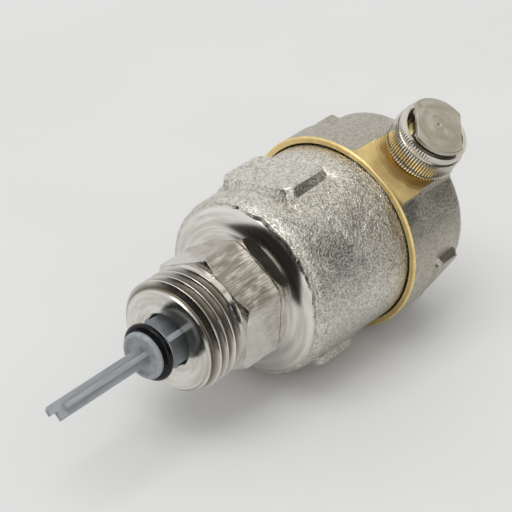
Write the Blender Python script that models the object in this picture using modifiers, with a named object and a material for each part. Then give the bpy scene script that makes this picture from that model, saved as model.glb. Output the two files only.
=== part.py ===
"""Automatic air release valve: float vent with a side outlet on a G 1/2 check fitting.

The valve stands as it is installed. Z is its main axis, with the pipe thread
below and the cover above, and X points out of the side outlet. The origin is the
centre of the check fitting's mouth, where the pipe thread begins.
"""

from math import atan2, cos, hypot, pi, radians, sin

import bmesh
import bpy

MM = 0.001

# Facets, shading and running clearances
STEPS = 40
SMALL_STEPS = 28
NOZZLE_STEPS = 24
PIN_STEPS = 16
PORT_STEPS = 12
SPRING_STEPS = 12
SEAL_WIRE_STEPS = 6
SHOWN_SEAL_WIRE_STEPS = 8
FILLET_STEPS = 3
ROUND_STEPS = 4
SHOULDER_STEPS = 6
SHARP_ANGLE = radians(32)
GAP = 0.3 * MM
PIN_GAP = 0.15 * MM
RING_GAP = 0.06 * MM

# Check fitting: pipe thread, spanner hexagon and the socket for the vent
PIPE_THREAD_RADIUS = 20.955 / 2 * MM
PIPE_THREAD_END = 7.4 * MM
MOUTH_CHAMFER = 1.3 * MM
MOUTH_CHAMFER_DEPTH = 1.28 * MM
MOUTH_RADIUS = PIPE_THREAD_RADIUS - MOUTH_CHAMFER_DEPTH
NECK_LENGTH = 1.5 * MM
NECK_DEPTH = 0.43 * MM
NECK_RADIUS = PIPE_THREAD_RADIUS - NECK_DEPTH
HEX_ACROSS_FLATS = 20.3 * MM
HEX_LENGTH = 8.6 * MM
HEX_CHAMFER = 0.8 * MM
HEX_FACE_STEP = 0.35 * MM
HEX_TURNED_MARGIN = 0.23 * MM
HEX_START = PIPE_THREAD_END + NECK_LENGTH
HEX_TOP = HEX_START + HEX_LENGTH
HEX_FACE_RADIUS = HEX_ACROSS_FLATS / 2 + HEX_FACE_STEP
HEX_TURNED_RADIUS = HEX_ACROSS_FLATS / 2 / cos(pi / 6) + HEX_TURNED_MARGIN
BORE_RADIUS = 4.85 * MM
SEAT_CHAMFER = 0.3 * MM
SOCKET_WALL = 1.7 * MM
SOCKET_CHAMFER = 0.6 * MM
SOCKET_RADIUS = HEX_ACROSS_FLATS / 2 - SOCKET_WALL
SOCKET_START = HEX_START + GAP
SPRING_ROOM = 5.0 * MM
SPRING_CHAMBER_STEP = 1.55 * MM
SPRING_LEDGE = SOCKET_START - SPRING_ROOM
SPRING_CHAMBER_RADIUS = SOCKET_RADIUS - SPRING_CHAMBER_STEP

# Spigot of the cast body, which screws into the socket and opens the check
SPIGOT_RADIUS = SOCKET_RADIUS - GAP
SPIGOT_END_GAP = 0.4 * MM
SPIGOT_END = SOCKET_START + SPIGOT_END_GAP
SPIGOT_CHAMFER = 0.6 * MM
SPIGOT_WALL = 3.15 * MM
INLET_RADIUS = SPIGOT_RADIUS - SPIGOT_WALL
SPIGOT_GROOVE_DEPTH = 1.25 * MM
SPIGOT_GROOVE_WIDTH = 1.9 * MM
SPIGOT_GROOVE_DROP = 0.7 * MM

# Check plunger: grey moulding with a guided stem, a seal flange and a long blade
PLUNGER_TRAVEL = 3.7 * MM
PLUNGER_SEATED_DEPTH = 0.65 * MM
PLUNGER_RING_WIRE = 0.9 * MM
FLANGE_CLEARANCE = 0.55 * MM
FLANGE_RADIUS = BORE_RADIUS - FLANGE_CLEARANCE
FLANGE_FRONT = 0.9 * MM
FLANGE_BACK = 0.5 * MM
FLANGE_GROOVE_DEPTH = 0.9 * MM
PLUNGER_CORE_RADIUS = FLANGE_RADIUS - FLANGE_GROOVE_DEPTH
FLANGE_POCKET_LIP = 0.75 * MM
FLANGE_POCKET_RADIUS = FLANGE_RADIUS - FLANGE_POCKET_LIP
FLANGE_POCKET_DEPTH = 0.5 * MM
FIN_THICKNESS = 1.0 * MM
FIN_CLEARANCE = 0.35 * MM
FIN_RADIUS = BORE_RADIUS - FIN_CLEARANCE
BLADE_WIDTH = 3.2 * MM
BLADE_THICKNESS = 0.95 * MM
BLADE_LENGTH = 21.3 * MM
BLADE_STEP = 2.6 * MM
PLUNGER_TURN = radians(102)
HEAD_THICKNESS = 1.2 * MM
HEAD_CLEARANCE = 0.5 * MM
HEAD_RADIUS = SPRING_CHAMBER_RADIUS - HEAD_CLEARANCE
HEAD_PORTS = 4
HEAD_PORT_RADIUS = 1.15 * MM
HEAD_PORT_INSET = 2.5 * MM
HEAD_PORT_CIRCLE = HEAD_RADIUS - HEAD_PORT_INSET
SNAP_RADIUS = 1.0 * MM
BARB_STEP = 0.6 * MM
BARB_LENGTH = 1.2 * MM
BARB_RADIUS = SNAP_RADIUS + BARB_STEP
SPRING_WIRE = 0.3 * MM
SPRING_TURNS = 3

# Cast body: domed shoulder, drafted float chamber, spanner pads and cover thread
BODY_BASE = HEX_TOP + GAP
BODY_HEIGHT = 31.2 * MM
BODY_RIM = BODY_BASE + BODY_HEIGHT
CHAMBER_RADIUS = 14.9 * MM
CHAMBER_FLOOR_THICKNESS = 4.2 * MM
CHAMBER_FLOOR = BODY_BASE + CHAMBER_FLOOR_THICKNESS
CHAMBER_FLOOR_FILLET = 1.2 * MM
BODY_WALL_LOW = 2.05 * MM
BODY_WALL_HIGH = 2.46 * MM
BODY_RADIUS_LOW = CHAMBER_RADIUS + BODY_WALL_LOW
BODY_RADIUS_HIGH = CHAMBER_RADIUS + BODY_WALL_HIGH
SHOULDER_INNER_RADIUS = HEX_FACE_RADIUS
SHOULDER_HEIGHT = 4.7 * MM
COVER_THREAD_LENGTH = 3.7 * MM
COVER_THREAD_WALL = 1.85 * MM
COVER_THREAD_RADIUS = CHAMBER_RADIUS + COVER_THREAD_WALL
BODY_LAND_TOP = BODY_RIM - COVER_THREAD_LENGTH
BODY_LAND_CHAMFER = 0.4 * MM
RIM_WALL = 1.0 * MM
RIM_GROOVE_RADIUS = CHAMBER_RADIUS + RIM_WALL
RIM_GROOVE_DEPTH = 0.95 * MM
BODY_PAD_STAND = 0.04 * MM
BODY_PAD_PLANE = BODY_RADIUS_HIGH + BODY_PAD_STAND
BODY_PAD_HALF_WIDTH = 8.0 * MM
BODY_PAD_RISE = 9.2 * MM
BODY_PAD_HEIGHT = 10.5 * MM
BODY_PAD_LOW = BODY_BASE + BODY_PAD_RISE
BODY_PAD_HIGH = BODY_PAD_LOW + BODY_PAD_HEIGHT
BODY_PAD_CORNER = 2.0 * MM
BODY_PAD_ANGLE = radians(-45)

# Side outlet nozzle, with its seat inside and the cap thread outside
ORIFICE_RADIUS = 0.8 * MM
SEAT_LIP_WIDTH = 0.6 * MM
SEAT_LIP_RADIUS = ORIFICE_RADIUS + SEAT_LIP_WIDTH
NOZZLE_BORE_RADIUS = 1.2 * MM
NOZZLE_LIP_WIDTH = 0.6 * MM
NOZZLE_LIP_RADIUS = NOZZLE_BORE_RADIUS + NOZZLE_LIP_WIDTH
NOZZLE_LIP_HEIGHT = 0.4 * MM
SHANK_RADIUS = 2.3 * MM
SHANK_HOLE_RADIUS = SHANK_RADIUS + GAP
SHANK_GROOVE_DEPTH = 0.7 * MM
SHANK_GROOVE_WIDTH = 1.0 * MM
SHANK_GROOVE_SETBACK = 0.6 * MM
CAP_THREAD_RADIUS = 4.5 * MM
COLLAR_STEP = 0.8 * MM
COLLAR_RADIUS = CAP_THREAD_RADIUS + COLLAR_STEP
COLLAR_THICKNESS = 0.6 * MM
NUT_WALL = 0.6 * MM
NUT_THICKNESS = 0.85 * MM
NUT_ACROSS_FLATS = 2 * (SHANK_HOLE_RADIUS + NUT_WALL)
NUT_CORNER_RADIUS = NUT_ACROSS_FLATS / 2 / cos(pi / 6)

# Cover: screwed over the body, with a milled face for the side outlet
COVER_OVERLAP = 0.9 * MM
COVER_RIM = BODY_LAND_TOP - COVER_OVERLAP
COVER_BAND_WALL = 1.14 * MM
COVER_BAND_HEIGHT = 6.6 * MM
COVER_BAND_RADIUS = BODY_RADIUS_HIGH + GAP + COVER_BAND_WALL
COVER_BAND_TOP = COVER_RIM + COVER_BAND_HEIGHT
COVER_EDGE = 0.3 * MM
COVER_FILLET = 0.7 * MM
COVER_BORE_STEP = 0.5 * MM
COVER_INNER_RADIUS = CHAMBER_RADIUS + COVER_BORE_STEP
COVER_WALL = 1.8 * MM
COVER_RADIUS = COVER_INNER_RADIUS + COVER_WALL
COVER_LEDGE = BODY_RIM + GAP
COUNTERBORE_MARGIN = 0.4 * MM
COUNTERBORE_TOP = BODY_LAND_TOP + COUNTERBORE_MARGIN
OUTLET_RISE = 7.25 * MM
OUTLET_HEIGHT = BODY_RIM + OUTLET_RISE
NUT_ROOM = 0.255 * MM
COVER_ROOF = OUTLET_HEIGHT + NUT_CORNER_RADIUS + NUT_ROOM
COVER_ROOF_FILLET = 1.2 * MM
COVER_ROOF_THICKNESS = 1.8 * MM
COVER_TOP = COVER_ROOF + COVER_ROOF_THICKNESS
COVER_TOP_ROUND = 2.0 * MM
MILLED_STAND = 0.49 * MM
MILLED_FACE = COVER_RADIUS + MILLED_STAND
MILLED_EDGE = 1.1 * MM
MILLED_START = COVER_RIM + MILLED_EDGE
BOSS_HALF_WIDTH = 6.0 * MM
BOSS_DRAFT = 1.6 * MM
BOSS_ROOT_HALF_WIDTH = BOSS_HALF_WIDTH + BOSS_DRAFT
BOSS_SINK = 2.4 * MM
BOSS_ROOT = COVER_INNER_RADIUS - BOSS_SINK
BOSS_OVERLAP = 1.5 * MM
BOSS_LOW = COVER_BAND_TOP - BOSS_OVERLAP
BOSS_DROP = 0.8 * MM
BOSS_TOP = COVER_TOP - BOSS_DROP
BOSS_TOP_BEVEL = 0.8 * MM
COVER_PAD_STAND = 0.35 * MM
COVER_PAD_PLANE = COVER_RADIUS + COVER_PAD_STAND
COVER_PAD_HALF_WIDTH = 6.2 * MM
COVER_PAD_MARGIN = 2.6 * MM
COVER_PAD_LOW = COVER_BAND_TOP + COVER_PAD_MARGIN
COVER_PAD_HIGH = COVER_TOP - COVER_PAD_MARGIN
COVER_PAD_CORNER = 1.3 * MM

# Bracket seat and nozzle seat, set back from the cover's inside and its milled face
BRACKET_POCKET_DEPTH = 0.05 * MM
BRACKET_SEAT = COVER_INNER_RADIUS + BRACKET_POCKET_DEPTH
BRACKET_MARGIN = 1.0 * MM
BRACKET_HALF_WIDTH = SHANK_HOLE_RADIUS + BRACKET_MARGIN
PLATE = 0.5 * MM
SEAT_DEPTH = 4.69 * MM
SEAT_FACE = MILLED_FACE - SEAT_DEPTH

# Vent cap: knurled sleeve and a plug whose two flats let the air out
PLUG_THREAD_GAP = 0.25 * MM
PLUG_BORE_RADIUS = CAP_THREAD_RADIUS + PLUG_THREAD_GAP
PLUG_WALL = 0.4 * MM
PLUG_RADIUS = PLUG_BORE_RADIUS + PLUG_WALL
PLUG_FLAT_DEPTH = 0.75 * MM
PLUG_HALF_FLATS = PLUG_RADIUS - PLUG_FLAT_DEPTH
PLUG_TURN = radians(135)
CAP_THREAD_BORE = CAP_THREAD_RADIUS + GAP
CAP_SOCKET_RADIUS = PLUG_RADIUS + GAP
CAP_RING_WALL = 1.0 * MM
CAP_RING_RADIUS = CAP_SOCKET_RADIUS + CAP_RING_WALL
CAP_BAND_STEP = 0.3 * MM
CAP_BAND_RADIUS = CAP_RING_RADIUS + CAP_BAND_STEP
CAP_LIP_STEP = 0.15 * MM
CAP_LIP_RADIUS = CAP_BAND_RADIUS + CAP_LIP_STEP
CAP_GROOVE_DEPTH = 0.25 * MM
CAP_GROOVE_RADIUS = CAP_RING_RADIUS - CAP_GROOVE_DEPTH
CAP_STANDOFF = 0.61 * MM
CAP_START = MILLED_FACE + GAP + COLLAR_THICKNESS + CAP_STANDOFF
CAP_LIP_LENGTH = 0.7 * MM
CAP_LIP_END = CAP_START + CAP_LIP_LENGTH
CAP_BAND_LENGTH = 3.3 * MM
CAP_BAND_END = CAP_LIP_END + CAP_BAND_LENGTH
CAP_GROOVE_WIDTH = 0.35 * MM
CAP_RING_LENGTH = 1.4 * MM
CAP_RING_END = CAP_BAND_END + CAP_GROOVE_WIDTH + CAP_RING_LENGTH
CAP_SOCKET_DEPTH = 2.55 * MM
CAP_SOCKET_START = CAP_RING_END - CAP_SOCKET_DEPTH
CAP_EDGE = 0.2 * MM
KNURL_TEETH = 36
KNURL_DEPTH = 0.28 * MM
PLUG_DISC_INSET = 0.55 * MM
PLUG_DISC_RADIUS = CAP_RING_RADIUS - PLUG_DISC_INSET
PLUG_REVEAL = 0.8 * MM
PLUG_DISC_START = CAP_RING_END + PLUG_REVEAL
PLUG_DISC_THICKNESS = 0.93 * MM
PLUG_FACE = PLUG_DISC_START + PLUG_DISC_THICKNESS
PLUG_EDGE = 0.15 * MM
CAP_SEAL_MARGIN = 1.35 * MM
CAP_SEAL_RADIUS = PLUG_BORE_RADIUS - CAP_SEAL_MARGIN
CAP_SEAL_THICKNESS = 0.55 * MM
CAP_SEAL_START = PLUG_DISC_START - GAP - CAP_SEAL_THICKNESS
CAP_THREAD_END = CAP_SEAL_START - GAP - NOZZLE_LIP_HEIGHT

# Lever: a bell crank between the float's posts and the pad on the nozzle's seat
PIVOT_RISE = 2.0 * MM
PAD_ARM = OUTLET_RISE - PIVOT_RISE
PIVOT_SETBACK = 2.5 * MM
LEVER_ARM = SEAT_FACE - PIVOT_SETBACK
FLOAT_TRAVEL = 2.6 * MM
LEVER_SWING = FLOAT_TRAVEL / LEVER_ARM
LEVER_PIVOT_X = LEVER_ARM
LEVER_PIVOT_Z = OUTLET_HEIGHT - PAD_ARM
LEVER_THICKNESS = 1.0 * MM
LEVER_WIDTH = 1.8 * MM
PIN_RADIUS = 0.8 * MM
PIN_HEAD_STEP = 0.4 * MM
PIN_HEAD_RADIUS = PIN_RADIUS + PIN_HEAD_STEP
PIN_HEAD = 0.4 * MM
HUB_WALL = 0.9 * MM
HUB_RADIUS = PIN_RADIUS + HUB_WALL
HUB_LENGTH = 3.4 * MM
HUB_SIDE_GAP = 0.5 * MM
EYE_SLOT = 0.45 * MM
EYE_SLOT_RADIUS = PIN_RADIUS + GAP
EYE_WALL = 1.1 * MM
EYE_RADIUS = EYE_SLOT_RADIUS + EYE_WALL
PAD_CLOSED_GAP = 0.1 * MM
PAD_MARGIN = 0.5 * MM
PAD_RADIUS = SEAT_LIP_RADIUS + PAD_MARGIN
PAD_THICKNESS = 1.1 * MM
CUP_MARGIN = 0.8 * MM
CUP_RADIUS = PAD_RADIUS + CUP_MARGIN
CUP_LENGTH = 1.6 * MM
CUP_POCKET_DEPTH = 1.0 * MM
EAR_GAP = HUB_LENGTH + 2 * HUB_SIDE_GAP
EAR_FOOT_GAP = 0.4 * MM
EAR_MARGIN = 1.5 * MM
EAR_LOW = BODY_RIM + EAR_FOOT_GAP
EAR_HIGH = LEVER_PIVOT_Z + EAR_MARGIN
EAR_TIP = LEVER_PIVOT_X - EAR_MARGIN

# Float: a cup on three feet, closed by a lid with two posts
FLOAT_CLEARANCE = 1.3 * MM
FLOAT_RADIUS = CHAMBER_RADIUS - FLOAT_CLEARANCE
FLOAT_WALL = 0.9 * MM
FLOAT_FEET = 1.2 * MM
FLOAT_FOOT_COUNT = 3
FLOAT_FOOT_INSET = 2.6 * MM
FLOAT_FOOT_LENGTH = 3.0 * MM
FLOAT_FOOT_OUTER = FLOAT_RADIUS - FLOAT_FOOT_INSET
FLOAT_FOOT_INNER = FLOAT_FOOT_OUTER - FLOAT_FOOT_LENGTH
FLOAT_FOOT_HALF_WIDTH = 0.8 * MM
FLOAT_CORNER = 1.5 * MM
FLOAT_TOP_DROP = 6.3 * MM
FLOAT_CUP_TOP = BODY_RIM - FLOAT_TOP_DROP
FLOAT_LID_THICKNESS = 1.2 * MM
FLOAT_PLUG_DEPTH = 1.8 * MM
POST_HALF_WIDTH = 1.6 * MM
POST_THICKNESS = 0.8 * MM
POST_CLEARANCE = 0.6 * MM
POST_SPREAD = LEVER_THICKNESS / 2 + POST_CLEARANCE
POST_TOP_MARGIN = 1.5 * MM


def clear_scene():
    """Empties the scene before the valve is made."""
    for thing in list(bpy.data.objects):
        bpy.data.objects.remove(thing, do_unlink=True)


def collection(name):
    """Returns a new collection in the scene."""
    group = bpy.data.collections.new(name)
    bpy.context.scene.collection.children.link(group)
    return group


def material(name, colour, roughness, metallic):
    """Returns a plain Principled material."""
    finish = bpy.data.materials.new(name)
    finish.use_nodes = True
    shader = finish.node_tree.nodes["Principled BSDF"]
    shader.inputs["Base Color"].default_value = (*colour, 1)
    shader.inputs["Roughness"].default_value = roughness
    shader.inputs["Metallic"].default_value = metallic
    return finish


clear_scene()
PARTS = collection("air_release_valve")
CUTTERS = collection("cutters")

NICKEL_CAST = material("nickel_cast", (0.62, 0.61, 0.58), 0.42, 1)
NICKEL_BRIGHT = material("nickel_bright", (0.72, 0.70, 0.66), 0.18, 1)
BRASS = material("brass", (0.78, 0.60, 0.28), 0.3, 1)
STAINLESS = material("stainless", (0.60, 0.60, 0.60), 0.3, 1)
GREY_PLASTIC = material("grey_plastic", (0.30, 0.34, 0.37), 0.4, 0)
WHITE_PLASTIC = material("white_plastic", (0.80, 0.80, 0.78), 0.45, 0)
BLACK_RUBBER = material("black_rubber", (0.02, 0.02, 0.02), 0.35, 0)


def axis_empty(name, place=(0, 0, 0), turn=(0, 0, 0)):
    """An empty on a body's axis, which carries the pieces of that body."""
    thing = bpy.data.objects.new(name, None)
    thing.location = place
    thing.rotation_euler = turn
    PARTS.objects.link(thing)
    return thing


def place(name, form, carrier, finish=None, turn=0):
    """Makes an object from a bmesh or a mesh: a sub-part with a finish, a cutter without."""
    if isinstance(form, bmesh.types.BMesh):
        mesh = bpy.data.meshes.new(name)
        form.to_mesh(mesh)
        form.free()
    else:
        mesh = form
    thing = bpy.data.objects.new(name, mesh)
    thing.parent = carrier
    thing.rotation_euler = (0, 0, turn)
    if finish:
        PARTS.objects.link(thing)
        mesh.materials.append(finish)
    else:
        CUTTERS.objects.link(thing)
        thing.hide_render = True
        thing.display_type = "WIRE"
    return thing


def turned(name, profile, carrier, finish=None, closed=True, steps=STEPS, turn=0):
    """Turns a profile of (radius, height) points, down its outer side, round Z."""
    mesh = bpy.data.meshes.new(name)
    edges = [(index, index + 1) for index in range(len(profile) - 1)]
    if closed:
        edges.append((len(profile) - 1, 0))
    mesh.from_pydata([(radius, 0, height) for radius, height in profile], edges, [])
    thing = place(name, mesh, carrier, finish, turn)
    screw = thing.modifiers.new("Turn", "SCREW")
    screw.angle = 2 * pi
    screw.steps = steps
    screw.render_steps = steps
    screw.use_merge_vertices = True
    screw.merge_threshold = 0.00001
    return thing


def arc(centre, radii, start, end, steps=FILLET_STEPS):
    """Points of an elliptical arc in a profile, angles in degrees from the outward side."""
    points = []
    for step in range(steps + 1):
        angle = radians(start + (end - start) * step / steps)
        points.append((centre[0] + radii[0] * cos(angle), centre[1] + radii[1] * sin(angle)))
    return points


def block(name, low, high, carrier, finish=None, turn=0, rounded=None):
    """A box between two corners. rounded is (axis, radius) for the edges along an axis."""
    form = bmesh.new()
    bmesh.ops.create_cube(form, size=1)
    bmesh.ops.scale(form, vec=[b - a for a, b in zip(low, high)], verts=form.verts)
    bmesh.ops.translate(form, vec=[(a + b) / 2 for a, b in zip(low, high)], verts=form.verts)
    if rounded:
        along, radius = rounded
        edges = [edge for edge in form.edges
                 if abs((edge.verts[0].co - edge.verts[1].co).normalized()[along]) > 0.9]
        bmesh.ops.bevel(form, geom=edges, offset=radius, segments=FILLET_STEPS, profile=0.5,
                        affect="EDGES")
    return place(name, form, carrier, finish, turn)


def rod(name, radius, low, high, carrier, finish=None, along="Z", centre=(0, 0),
        steps=PIN_STEPS):
    """A plain cylinder along an axis, between two places on it, centred on the other two."""
    form = bmesh.new()
    bmesh.ops.create_cone(form, cap_ends=True, segments=steps, radius1=radius, radius2=radius,
                          depth=high - low)
    bmesh.ops.translate(form, vec=(0, 0, (low + high) / 2), verts=form.verts)
    first, second = centre
    for corner in form.verts:
        x, y, z = corner.co
        if along == "Z":
            corner.co = (first + x, second + y, z)
        if along == "Y":
            corner.co = (first + x, z, second - y)
        if along == "X":
            corner.co = (z, first + y, second - x)
    return place(name, form, carrier, finish)


def ring(name, radius, wire, height, carrier, finish, steps=STEPS, wire_steps=SEAL_WIRE_STEPS):
    """An O-ring: radius to the middle of its wire, and the wire's own radius."""
    return turned(name, [(x, y + height) for x, y in
                         [(radius + wire * sin(2 * pi * step / wire_steps),
                           wire * cos(2 * pi * step / wire_steps))
                          for step in range(wire_steps)]], carrier, finish, steps=steps)


def rivet(name, grip, carrier, finish):
    """A headed pin along Y, its grip the distance between its two heads."""
    half = grip / 2
    profile = [(0, half + PIN_HEAD), (PIN_HEAD_RADIUS, half + PIN_HEAD), (PIN_HEAD_RADIUS, half),
               (PIN_RADIUS, half), (PIN_RADIUS, -half), (PIN_HEAD_RADIUS, -half),
               (PIN_HEAD_RADIUS, -half - PIN_HEAD), (0, -half - PIN_HEAD)]
    thing = turned(name, profile, carrier, finish, closed=False, steps=PIN_STEPS)
    thing.rotation_euler = (pi / 2, 0, 0)
    return thing


def hexagon(name, across_flats, low, high, carrier, finish=None):
    """A hexagonal bar with two of its corners on the X axis."""
    form = bmesh.new()
    radius = across_flats / 2 / cos(pi / 6)
    bmesh.ops.create_cone(form, cap_ends=True, segments=6, radius1=radius, radius2=radius,
                          depth=high - low)
    bmesh.ops.translate(form, vec=(0, 0, (low + high) / 2), verts=form.verts)
    return place(name, form, carrier, finish, turn=pi / 6)


def hex_collar(name, across_flats, outer_radius, low, high, carrier):
    """A cutter that leaves a hexagon of the turned piece it surrounds, a flat facing X."""
    form = bmesh.new()
    inner_radius = across_flats / 2 / cos(pi / 6)
    bmesh.ops.create_circle(form, segments=6, radius=inner_radius)
    grown = bmesh.ops.extrude_edge_only(form, edges=form.edges[:])["geom"]
    outer = [item for item in grown if isinstance(item, bmesh.types.BMVert)]
    spread = outer_radius / inner_radius
    bmesh.ops.scale(form, vec=(spread, spread, 1), verts=outer)
    raised = bmesh.ops.extrude_face_region(form, geom=form.faces[:])["geom"]
    bmesh.ops.translate(form, vec=(0, 0, high - low),
                        verts=[item for item in raised if isinstance(item, bmesh.types.BMVert)])
    bmesh.ops.translate(form, vec=(0, 0, low), verts=form.verts)
    bmesh.ops.recalc_face_normals(form, faces=form.faces)
    return place(name, form, carrier)


def combine(body, other, operation):
    """Adds a Boolean to a sub-part."""
    change = body.modifiers.new(other.name, "BOOLEAN")
    change.operation = operation
    change.object = other


def join(body, *others):
    """Joins shapes to a sub-part."""
    for other in others:
        combine(body, other, "UNION")


def cut(body, *others):
    """Cuts shapes out of a sub-part."""
    for other in others:
        combine(body, other, "DIFFERENCE")


def settle_shapes():
    """Applies the modifiers and shades each sub-part smooth up to its sharp edges."""
    bpy.context.view_layer.update()
    view = bpy.context.evaluated_depsgraph_get()
    solids = [thing for thing in PARTS.objects if thing.type == "MESH"]
    meshes = [bpy.data.meshes.new_from_object(thing.evaluated_get(view)) for thing in solids]
    for thing, mesh in zip(solids, meshes):
        thing.modifiers.clear()
        mesh.name = thing.name
        thing.data = mesh
        mesh.shade_smooth()
        mesh.set_sharp_from_angle(angle=SHARP_ANGLE)


def make_check_fitting(carrier):
    """Nickel-plated fitting: pipe thread, hexagon, seat at the mouth, socket at the back."""
    seat_radius = BORE_RADIUS + SEAT_CHAMFER
    profile = [
        (HEX_FACE_RADIUS, HEX_TOP),
        (HEX_TURNED_RADIUS, HEX_TOP - HEX_CHAMFER),
        (HEX_TURNED_RADIUS, HEX_START + HEX_CHAMFER),
        (HEX_FACE_RADIUS, HEX_START),
        (NECK_RADIUS, HEX_START),
        (NECK_RADIUS, PIPE_THREAD_END + GAP),
        (PIPE_THREAD_RADIUS, PIPE_THREAD_END),
        (PIPE_THREAD_RADIUS, MOUTH_CHAMFER),
        (MOUTH_RADIUS, 0),
        (seat_radius, 0),
        (BORE_RADIUS, SEAT_CHAMFER),
        (BORE_RADIUS, SPRING_LEDGE),
        (SPRING_CHAMBER_RADIUS, SPRING_LEDGE),
        (SPRING_CHAMBER_RADIUS, SOCKET_START),
        (SOCKET_RADIUS, SOCKET_START),
        (SOCKET_RADIUS, HEX_TOP - SOCKET_CHAMFER),
        (SOCKET_RADIUS + SOCKET_CHAMFER, HEX_TOP),
    ]
    fitting = turned("check_fitting", profile, carrier, NICKEL_BRIGHT)
    cut(fitting, hex_collar("hex_collar", HEX_ACROSS_FLATS, 2 * HEX_TURNED_RADIUS,
                            HEX_START - PIN_GAP, HEX_TOP + PIN_GAP, carrier))


def make_check_spring(carrier):
    """Compression spring between the fitting's ledge and the plunger's head."""
    head_low = SPIGOT_END - GAP - HEAD_THICKNESS
    low = SPRING_LEDGE + GAP + SPRING_WIRE
    high = head_low - GAP - SPRING_WIRE
    radius = SPRING_CHAMBER_RADIUS - 2 * GAP - SPRING_WIRE
    count = SPRING_TURNS * SPRING_STEPS
    curve = bpy.data.curves.new("check_spring", "CURVE")
    curve.dimensions = "3D"
    curve.bevel_depth = SPRING_WIRE
    curve.bevel_resolution = 2
    curve.use_fill_caps = True
    spline = curve.splines.new("POLY")
    spline.points.add(count)
    for step, point in enumerate(spline.points):
        angle = 2 * pi * step / SPRING_STEPS
        height = low + (high - low) * step / count
        point.co = (radius * cos(angle), radius * sin(angle), height, 1)
    curve.materials.append(STAINLESS)
    spring = bpy.data.objects.new("check_spring", curve)
    spring.parent = carrier
    PARTS.objects.link(spring)


def make_plunger(carrier):
    """Plunger stem, its O-ring and the head that holds it in the fitting."""
    ring_height = -(PLUNGER_TRAVEL + PLUNGER_SEATED_DEPTH)
    groove = PLUNGER_RING_WIRE + RING_GAP
    front = ring_height - groove - FLANGE_FRONT
    back = ring_height + groove + FLANGE_BACK
    head_high = SPIGOT_END - GAP
    head_low = head_high - HEAD_THICKNESS
    fin_top = head_low - GAP
    profile = [
        (0, back),
        (FLANGE_RADIUS, back),
        (FLANGE_RADIUS, ring_height + groove),
        (PLUNGER_CORE_RADIUS, ring_height + groove),
        (PLUNGER_CORE_RADIUS, ring_height - groove),
        (FLANGE_RADIUS, ring_height - groove),
        (FLANGE_RADIUS, front + SEAT_CHAMFER),
        (FLANGE_RADIUS - SEAT_CHAMFER, front),
        (FLANGE_POCKET_RADIUS, front),
        (FLANGE_POCKET_RADIUS - SEAT_CHAMFER, front + FLANGE_POCKET_DEPTH),
        (0, front + FLANGE_POCKET_DEPTH),
    ]
    stem = turned("plunger_stem", profile, carrier, GREY_PLASTIC, closed=False,
                  steps=SMALL_STEPS, turn=PLUNGER_TURN)
    tip = front - BLADE_LENGTH
    half = BLADE_THICKNESS / 2
    width = BLADE_WIDTH / 2
    overlap = FLANGE_POCKET_DEPTH + FLANGE_FRONT / 2
    fin = FIN_THICKNESS / 2
    join(
        stem,
        block("blade_long", (-width, -half, tip), (width, half, front + overlap), carrier,
              turn=PLUNGER_TURN),
        block("blade_short", (-half, -width, tip + BLADE_STEP), (half, width, front + overlap),
              carrier, turn=PLUNGER_TURN),
        block("fin_pair", (-FIN_RADIUS, -fin, back - FLANGE_BACK / 2),
              (FIN_RADIUS, fin, fin_top), carrier, turn=PLUNGER_TURN),
        block("fin_cross", (-fin, -FIN_RADIUS, back - FLANGE_BACK / 2),
              (fin, FIN_RADIUS, fin_top), carrier, turn=PLUNGER_TURN),
        turned("snap_pin", [(0, SPIGOT_END + BARB_LENGTH),
                            (SNAP_RADIUS / 2, SPIGOT_END + BARB_LENGTH),
                            (BARB_RADIUS, SPIGOT_END), (SNAP_RADIUS, SPIGOT_END),
                            (SNAP_RADIUS, fin_top - FIN_THICKNESS), (0, fin_top - FIN_THICKNESS)],
               carrier, closed=False, steps=PIN_STEPS),
    )
    cut(stem, block("blade_notch", (0, -width, tip - GAP), (BLADE_WIDTH, width, tip + BLADE_STEP / 2),
                    carrier, turn=PLUNGER_TURN))
    ring("plunger_o_ring", PLUNGER_CORE_RADIUS + RING_GAP + PLUNGER_RING_WIRE, PLUNGER_RING_WIRE,
         ring_height, carrier, BLACK_RUBBER, steps=SMALL_STEPS, wire_steps=SHOWN_SEAL_WIRE_STEPS)
    head = turned("plunger_head",
                  [(HEAD_RADIUS, head_high), (HEAD_RADIUS, head_low),
                   (SNAP_RADIUS + GAP, head_low), (SNAP_RADIUS + GAP, head_high)],
                  carrier, GREY_PLASTIC, steps=SMALL_STEPS)
    for port in range(HEAD_PORTS):
        angle = 2 * pi * port / HEAD_PORTS
        cut(head, rod(f"head_port_{port + 1}", HEAD_PORT_RADIUS, head_low - GAP, head_high + GAP,
                      carrier, centre=(HEAD_PORT_CIRCLE * cos(angle), HEAD_PORT_CIRCLE * sin(angle)),
                      steps=PORT_STEPS))


def make_spigot_ring(carrier):
    """O-ring between the spigot and the socket, which rises with the vent."""
    space = SPIGOT_GROOVE_DEPTH + SOCKET_RADIUS - SPIGOT_RADIUS
    wire = space / 2 - RING_GAP
    floor = SPIGOT_RADIUS - SPIGOT_GROOVE_DEPTH
    height = BODY_BASE - SPIGOT_GROOVE_DROP - SPIGOT_GROOVE_WIDTH / 2
    ring("spigot_o_ring", floor + space / 2, wire, height, carrier, BLACK_RUBBER)


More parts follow.
